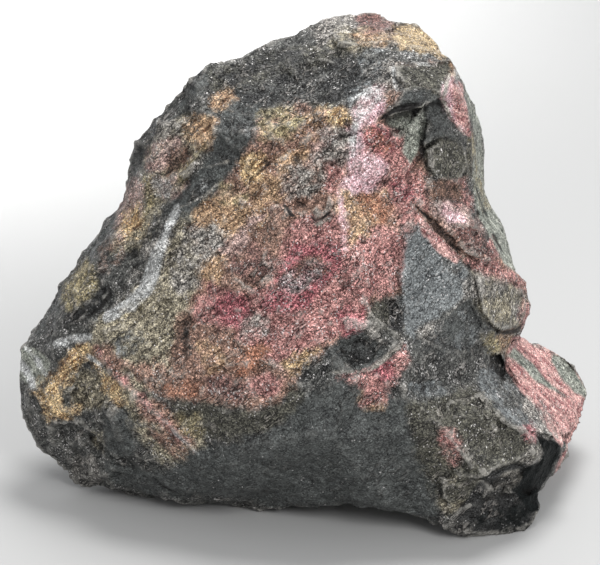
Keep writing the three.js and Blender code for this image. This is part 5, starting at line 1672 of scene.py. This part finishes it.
def texture_group() -> bpy.types.NodeTree:
    """Builds the shared texture: how edges fray, how tones mix, the single grains, seams and cracks.

    Returns:
        The node group.
    """
    vectors = ("Fray", "Tilt")
    numbers = (
        "Patch", "Blend", "Grain", "Flash", "Cluster", "Rising", "Falling", "Grit", "Height", "Seam",
        "Crack", "Crest",
    )
    gives = {**dict.fromkeys(vectors, "Vector"), **dict.fromkeys(numbers, "Float")}
    group, sketch = new_group("stone texture", {}, gives)
    size = Pattern()
    object_places = sketch.node("TexCoord").outputs["Object"]
    places = sketch.node("Mapping", {"Vector": object_places, "Scale": (1.0 / MM,) * 3}).outputs["Vector"]

    grains = sketch.cells(places, size.grain)
    small_grains = sketch.cells(places, size.small_grain)
    grain = sketch.node("SeparateColor", {"Color": grains}).outputs
    small = sketch.node("SeparateColor", {"Color": small_grains}).outputs
    grit = sketch.node("SeparateColor", {"Color": sketch.cells(places, size.grit)}).outputs
    grain_tone = sketch.times(grain[0], size.grain_tone)
    tone = sketch.calc("MULTIPLY_ADD", small[0], size.small_grain_tone, grain_tone)

    middle = sketch.centred(sketch.noise(places, size.fray, out="Color"))
    wide = sketch.centred(sketch.noise(places, size.wide_fray, out="Color"))
    fray = sketch.vector("SCALE", wide, size.noise_sway)
    sways = (
        (middle, size.noise_sway),
        (sketch.centred(grains), size.grain_sway),
        (sketch.centred(small_grains), size.small_grain_sway),
    )
    for pattern, reach in sways:
        fray = sketch.vector("ADD", fray, sketch.vector("SCALE", pattern, reach))

    bent = sketch.vector("ADD", places, sketch.vector("SCALE", middle, size.bend_sway))
    crystal_places = sketch.stretched(bent, size.crystal_turn, size.crystal)
    crystals = sketch.cells(crystal_places, 1.0)
    borders = sketch.cells(crystal_places, 1.0, "Distance", "DISTANCE_TO_EDGE")
    seamed = sketch.spread(sketch.noise(places, size.seam_patch), *size.seam_range)
    seam = sketch.times(sketch.spread(borders, 0.0, size.seam_width, 1.0, 0.0), seamed)
    tilt = sketch.vector("ADD", sketch.centred(crystals), sketch.centred(small_grains))

    crack_places = sketch.stretched(bent, size.crack_turn, size.crack)
    waves = sketch.noise(crack_places, 1.0, size.crack_detail)
    cracked = sketch.spread(sketch.noise(places, size.crack_patch), *size.crack_range)
    ledge = sketch.times(sketch.spread(waves, *size.ledge_range), cracked)

    height = 0.0
    heights = (
        (sketch.noise(places, size.fine_relief), size.noise_height),
        (sketch.cells(places, size.grain, "Distance"), size.grain_height),
        (sketch.noise(places, size.rolling_relief), size.rolling_height),
        (seam, size.seam_height),
        (ledge, size.ledge_height),
    )
    for pattern, strength in heights:
        height = sketch.calc("MULTIPLY_ADD", pattern, strength, height)

    gritty = sketch.calc("SUBTRACT", grit[0], size.grit_middle)
    strands = {
        name: sketch.swing(sketch.noise(sketch.stretched(places, turn, size.strand), 1.0))
        for name, turn in (("Rising", -size.strand_turn), ("Falling", size.strand_turn))
    }
    clusters = sketch.noise(places, size.cluster)
    sketch.node("GroupOutput", {
        **strands,
        "Fray": fray,
        "Patch": sketch.swing(sketch.noise(places, size.patch, size.tone_detail)),
        "Blend": sketch.swing(sketch.noise(places, size.blend, size.tone_detail)),
        "Grain": sketch.calc("SUBTRACT", tone, 1.0),
        "Flash": small[1],
        "Cluster": sketch.spread(clusters, *size.cluster_range, *size.cluster_gain),
        "Grit": sketch.calc("POWER", size.grit_contrast, gritty),
        "Tilt": tilt,
        "Height": height,
        "Seam": seam,
        "Crack": sketch.times(sketch.contour(waves, *size.crack_line), cracked),
        # Crest: the line beside each crack that carries a painted highlight, as of a lit ledge.
        "Crest": sketch.times(sketch.contour(waves, *size.crest_line), cracked),
    })
    return group


def coat_group() -> bpy.types.NodeTree:
    """Builds one mineral laid over what is under it, with a frayed edge.

    Returns:
        The node group.
    """
    colors = ("Under", "Low", "High")
    vectors = ("Under Traits", "Traits")
    numbers = (
        "Depth", "Fray", "Patch", "Blend", "Grain", "Flash", "Cluster", "Mottle", "Mix", "Graininess",
        "Pale", "Dark", "Soft",
    )
    takes = {
        **dict.fromkeys(colors, "Color"),
        **dict.fromkeys(vectors, "Vector"),
        **dict.fromkeys(numbers, "Float"),
    }
    group, sketch = new_group("mineral coat", takes, {"Color": "Color", "Traits": "Vector"})
    given = sketch.node("GroupInput").outputs
    tone = sketch.calc("MULTIPLY_ADD", given["Patch"], given["Mottle"], 0.5)
    tone = sketch.calc("MULTIPLY_ADD", given["Blend"], given["Mix"], tone)
    tone = sketch.calc("MULTIPLY_ADD", given["Grain"], given["Graininess"], tone, clamp=True)
    color = sketch.mix(tone, given["Low"], given["High"])
    shadow = sketch.calc("LESS_THAN", given["Flash"], given["Dark"])
    color = sketch.mix(sketch.times(shadow, SHADOW_SHARE), color, GRAIN_SHADOW)
    # Painted glints: grains whose flash passes the pale share turn to a pale colour, as crystal faces that
    # catch the light.
    pale = sketch.times(given["Pale"], given["Cluster"])
    light = sketch.calc("GREATER_THAN", given["Flash"], sketch.calc("SUBTRACT", 1.0, pale))
    color = sketch.mix(sketch.times(light, GLINT_SHARE), color, PAINTED_GLINT)
    reach = sketch.calc("DIVIDE", sketch.calc("ADD", given["Depth"], given["Fray"]), given["Soft"])
    edge = sketch.spread(reach, -1.0, 1.0)
    traits = sketch.mix(edge, given["Under Traits"], given["Traits"])
    sketch.node("GroupOutput", {"Color": sketch.mix(edge, given["Under"], color), "Traits": traits})
    return group


def lay_minerals(sketch: Sketch, shared: bpy.types.NodeOutputs) -> tuple[object, object]:
    """Lays the minerals, with the painted shade and highlights among them, one over the other on the ore.

    Args:
        sketch: the material's node tree.
        shared: the outputs of the shared texture.

    Returns:
        The colour of the stone, and its traits: roughness, relief and shine.
    """
    coat = coat_group()
    color: object = paint(*ORE.low)
    traits: object = ORE.traits
    layers = [(ORE, FARTHEST)] + [(FINISHES[m], sketch.attribute(m.name.lower())) for m in Mineral]
    for number, (finish, depth) in enumerate(layers):
        turn = number * FRAY_TURN
        heading = (math.cos(turn), math.sin(turn), 0.6 * math.cos(turn * FRAY_TILT))
        fray = sketch.vector("DOT_PRODUCT", shared["Fray"], heading)
        slant = shared["Rising" if finish.strand > 0 else "Falling"]
        strands = sketch.times(slant, STRAND_GAIN * abs(finish.strand))
        inputs = {
            **{name: shared[name] for name in ("Patch", "Grain", "Flash", "Cluster")},
            "Under": color,
            "Under Traits": traits,
            "Depth": depth,
            "Fray": sketch.times(fray, finish.fray),
            "Blend": sketch.calc("MULTIPLY_ADD", shared["Blend"], FINE_BLEND, strands),
            "Low": paint(*finish.low),
            "High": paint(*finish.high),
            "Mottle": finish.mottle * MOTTLE_GAIN,
            "Mix": finish.blend * BLEND_GAIN,
            "Graininess": finish.grain * GRAIN_GAIN,
            "Soft": finish.soft,
            "Pale": finish.pale,
            "Dark": finish.dark,
            "Traits": finish.traits,
        }
        layer = sketch.node("Group", node_tree=coat)
        for name, value in inputs.items():
            sketch.feed(layer.inputs[name], value)
        color, traits = layer.outputs["Color"], layer.outputs["Traits"]
    return color, traits


@dataclass(frozen=True)
class MarksAndPaintedLight:
    """How strongly the marks show: the stone's own grit, cracks and seams, painted shade in hollows and
    dells, and painted highlights on crests and edges; each share is the most of its colour that is laid on.

    relief is the depth of the bump in mm, refraction the stone's index, and shine the gain of its glint.
    The ranges are how hollow (mm) the surface is, or how rough its relief, where each sets in and is full.
    """

    grit: float = 2.0
    crest: float = 0.28
    crack: float = 1.1
    seam: float = 0.3
    hollow_shade: float = 0.7
    edge: float = 0.38
    dell: float = 0.4
    relief: float = 1.2
    refraction: float = 1.55
    shine: float = 0.8
    relief_highlight_range: tuple[float, float] = (0.2, 0.5)
    hollow_shade_range: tuple[float, float] = (0.05, 0.6)
    edge_highlight_range: tuple[float, float] = (-0.05, -0.6)
    dell_range: tuple[float, float] = (0.3, 2.5)


def stone_material() -> bpy.types.Material:
    """Builds the whole stone: the ore and its minerals, cracks, painted shade in hollows and dells, and
    painted highlights on crests and edges.

    Returns:
        The material.
    """
    material = bpy.data.materials.new("rhodonite")
    material.use_nodes = True
    sketch = Sketch(material.node_tree)
    shared = sketch.node("Group", node_tree=texture_group()).outputs
    color, traits = lay_minerals(sketch, shared)
    trait = sketch.node("SeparateXYZ", {"Vector": traits}).outputs
    rough, relief, shine = (trait[axis] for axis in "XYZ")
    marks = MarksAndPaintedLight()
    gritty = sketch.calc("MULTIPLY", relief, marks.grit, clamp=True)
    color = sketch.mix(gritty, color, shared["Grit"], "MULTIPLY")
    # The share of painted highlight on crests and edges, which grows with the relief.
    relief_highlight = sketch.spread(relief, *marks.relief_highlight_range)
    hollow = sketch.attribute("hollow")
    # The crack lines and seams are the stone's own; the rest is painted light: a highlight along the
    # crests, shade in hollows and wide dells, and a highlight on convex edges.
    marks_and_painted_light = (
        (sketch.times(shared["Crest"], sketch.times(relief_highlight, marks.crest)), CREST_HIGHLIGHT),
        (sketch.times(shared["Crack"], sketch.times(relief, marks.crack)), CRACK_DARK),
        (sketch.times(shared["Seam"], marks.seam), CRACK_DARK),
        (sketch.spread(hollow, *marks.hollow_shade_range, 0.0, marks.hollow_shade), HOLLOW_SHADE),
        (sketch.times(sketch.spread(hollow, *marks.edge_highlight_range, 0.0, marks.edge), relief_highlight), EDGE_HIGHLIGHT),
        (sketch.spread(sketch.attribute("dell"), *marks.dell_range, 0.0, marks.dell), HOLLOW_SHADE),
    )
    for share, mark_color in marks_and_painted_light:
        color = sketch.mix(share, color, mark_color)
    bump = sketch.node("Bump", {
        "Height": sketch.times(shared["Height"], relief), "Distance": marks.relief * MM, "Strength": 1.0,
    }).outputs["Normal"]
    tilted = sketch.vector("ADD", bump, sketch.vector("SCALE", shared["Tilt"], shine))
    surface = sketch.node("BsdfPrincipled", {
        "Base Color": color,
        "Roughness": rough,
        "Normal": sketch.vector("NORMALIZE", tilted),
        "IOR": marks.refraction,
        "Specular IOR Level": sketch.times(shine, marks.shine),
    })
    sketch.node("OutputMaterial", {"Surface": surface.outputs["BSDF"]})
    return material


@dataclass(frozen=True)
class Lump:
    """The stone itself: an even mesh over the solid, finer on the front, with its relief and minerals.

    cell is the width of the mesh in mm, and weld the distance within which corners are one. Faces that
    turn toward the eye by more than front (a cosine) are twice as fine; those that turn away by more
    than far are thinned, so that kept of the whole mesh is left.
    """

    cell: float = 1.14
    weld: float = 0.01
    front: float = 0.12
    far: float = 0.3
    kept: float = 0.93

    def build(self) -> bpy.types.Object:
        """Models the lump over its CAD solid.

        Returns:
            The finished mesh object.
        """
        stone = self.even_mesh()
        skin = Skin(stone)
        Relief(skin).build()
        Sheets(skin).build()
        stone.data.polygons.foreach_set("use_smooth", [True] * len(stone.data.polygons))
        stone.data.materials.append(stone_material())
        return stone

    def even_mesh(self) -> bpy.types.Object:
        """Covers the solid with an even mesh, twice as fine where it faces the eye.

        Returns:
            The mesh object, on the faces of the solid.
        """
        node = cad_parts[STONE_NODE]
        stone = bpy.data.objects.new("rough_rhodonite", node.data.copy())
        bpy.context.scene.collection.objects.link(stone)
        stone.data.materials.clear()
        pick(stone)
        bpy.ops.object.mode_set(mode="EDIT")
        bpy.ops.mesh.select_all(action="SELECT")
        bpy.ops.mesh.remove_doubles(threshold=self.weld * MM)
        bpy.ops.object.mode_set(mode="OBJECT")
        apply_modifier(stone, "REMESH", mode="VOXEL", voxel_size=self.cell * MM, adaptivity=0.0)
        normals = np.empty(len(stone.data.polygons) * 3)
        stone.data.polygons.foreach_get("normal", normals)
        stone.data.polygons.foreach_set("select", normals.reshape(-1, 3) @ VIEW.back > self.front)
        bpy.ops.object.mode_set(mode="EDIT")
        bpy.ops.mesh.select_mode(type="FACE")
        bpy.ops.mesh.subdivide(number_cuts=1)
        bpy.ops.object.mode_set(mode="OBJECT")
        far_side = stone.vertex_groups.new(name="far side")
        normals = np.empty(len(stone.data.vertices) * 3)
        stone.data.vertex_normals.foreach_get("vector", normals)
        hidden = np.flatnonzero(normals.reshape(-1, 3) @ VIEW.back < -self.far)
        far_side.add(hidden.tolist(), 1.0, "REPLACE")
        apply_modifier(stone, "DECIMATE", ratio=self.kept, vertex_group="far side")
        apply_modifier(stone, "SHRINKWRAP", target=node, wrap_method="NEAREST_SURFACEPOINT")
        return stone


@dataclass(frozen=True)
class Lamp:
    """One soft round light: where it hangs and what it is turned to, its width, power and beam.

    place, target and width are in mm, power is in W, and beam in degrees.
    """

    name: str
    place: Place
    target: Place
    width: float
    power: float
    beam: float = 180.0

    def hang(self) -> None:
        """Adds the light to the scene."""
        lamp = bpy.data.lights.new(self.name, "AREA")
        lamp.shape = "DISK"
        lamp.size = self.width * MM
        lamp.energy = self.power
        lamp.spread = math.radians(self.beam)
        stand = bpy.data.objects.new(self.name, lamp)
        stand.location = Vector(self.place) * MM
        stand.rotation_mode = "QUATERNION"
        stand.rotation_quaternion = (Vector(self.target) - Vector(self.place)).to_track_quat("-Z", "Y")
        bpy.context.scene.collection.objects.link(stand)


LAMPS = (
    Lamp("window", (120.0, 200.0, 850.0), VIEW.aim, 400.0, 6.6),
    Lamp("backdrop", (-400.0, 550.0, 600.0), (-400.0, 600.0, 0.0), 400.0, 10.5, 80.0),
    Lamp("fill", (400.0, -800.0, 650.0), VIEW.aim, 500.0, 6.5),
)


@dataclass(frozen=True)
class Studio:
    """The pale floor, the soft light and the camera. floor_width is in mm; the tints are linear colours."""

    floor_width: float = 8000.0
    floor_tint: tuple[float, float, float, float] = (0.45, 0.45, 0.445, 1.0)
    floor_roughness: float = 0.6
    sky_tint: tuple[float, float, float, float] = (0.95, 0.96, 0.98, 1.0)
    sky_strength: float = 0.68

    def build_camera(self) -> None:
        """Sets the camera at the viewpoint."""
        camera = bpy.data.objects.new("camera", bpy.data.cameras.new("camera"))
        camera.data.lens = VIEW.lens
        camera.data.sensor_width = VIEW.film
        camera.location = VIEW.eye * MM
        camera.rotation_mode = "QUATERNION"
        camera.rotation_quaternion = Vector(-VIEW.back).to_track_quat("-Z", "Y")
        camera.data.clip_start = 10.0 * MM
        bpy.context.scene.collection.objects.link(camera)
        bpy.context.scene.camera = camera

    def build_floor(self) -> None:
        """Lays the pale floor."""
        deselect_all()
        bpy.ops.mesh.primitive_plane_add(size=self.floor_width * MM, location=(0.0, 0.0, 0.0))
        floor = bpy.context.object
        floor.name = "floor"
        material = bpy.data.materials.new("floor")
        material.use_nodes = True
        surface = material.node_tree.nodes["Principled BSDF"]
        surface.inputs["Base Color"].default_value = self.floor_tint
        surface.inputs["Roughness"].default_value = self.floor_roughness
        floor.data.materials.append(material)

    def build_sky(self) -> None:
        """Lights the room evenly from all round."""
        world = bpy.context.scene.world or bpy.data.worlds.new("studio")
        bpy.context.scene.world = world
        world.use_nodes = True
        background = world.node_tree.nodes["Background"]
        background.inputs["Color"].default_value = self.sky_tint
        background.inputs["Strength"].default_value = self.sky_strength

    def build(self) -> None:
        """Sets up the whole studio."""
        self.build_camera()
        self.build_floor()
        for lamp in LAMPS:
            lamp.hang()
        self.build_sky()
        bpy.context.scene.view_settings.view_transform = "Standard"


def main() -> None:
    """Builds the stone and its studio, and logs how many triangles the stone has."""
    Studio().build()
    stone = Lump().build()
    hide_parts(STONE_NODE)
    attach(stone, "root")
    log.info("stone: %d triangles", sum(len(p.vertices) - 2 for p in stone.data.polygons))


if __name__ == "__main__":
    main()
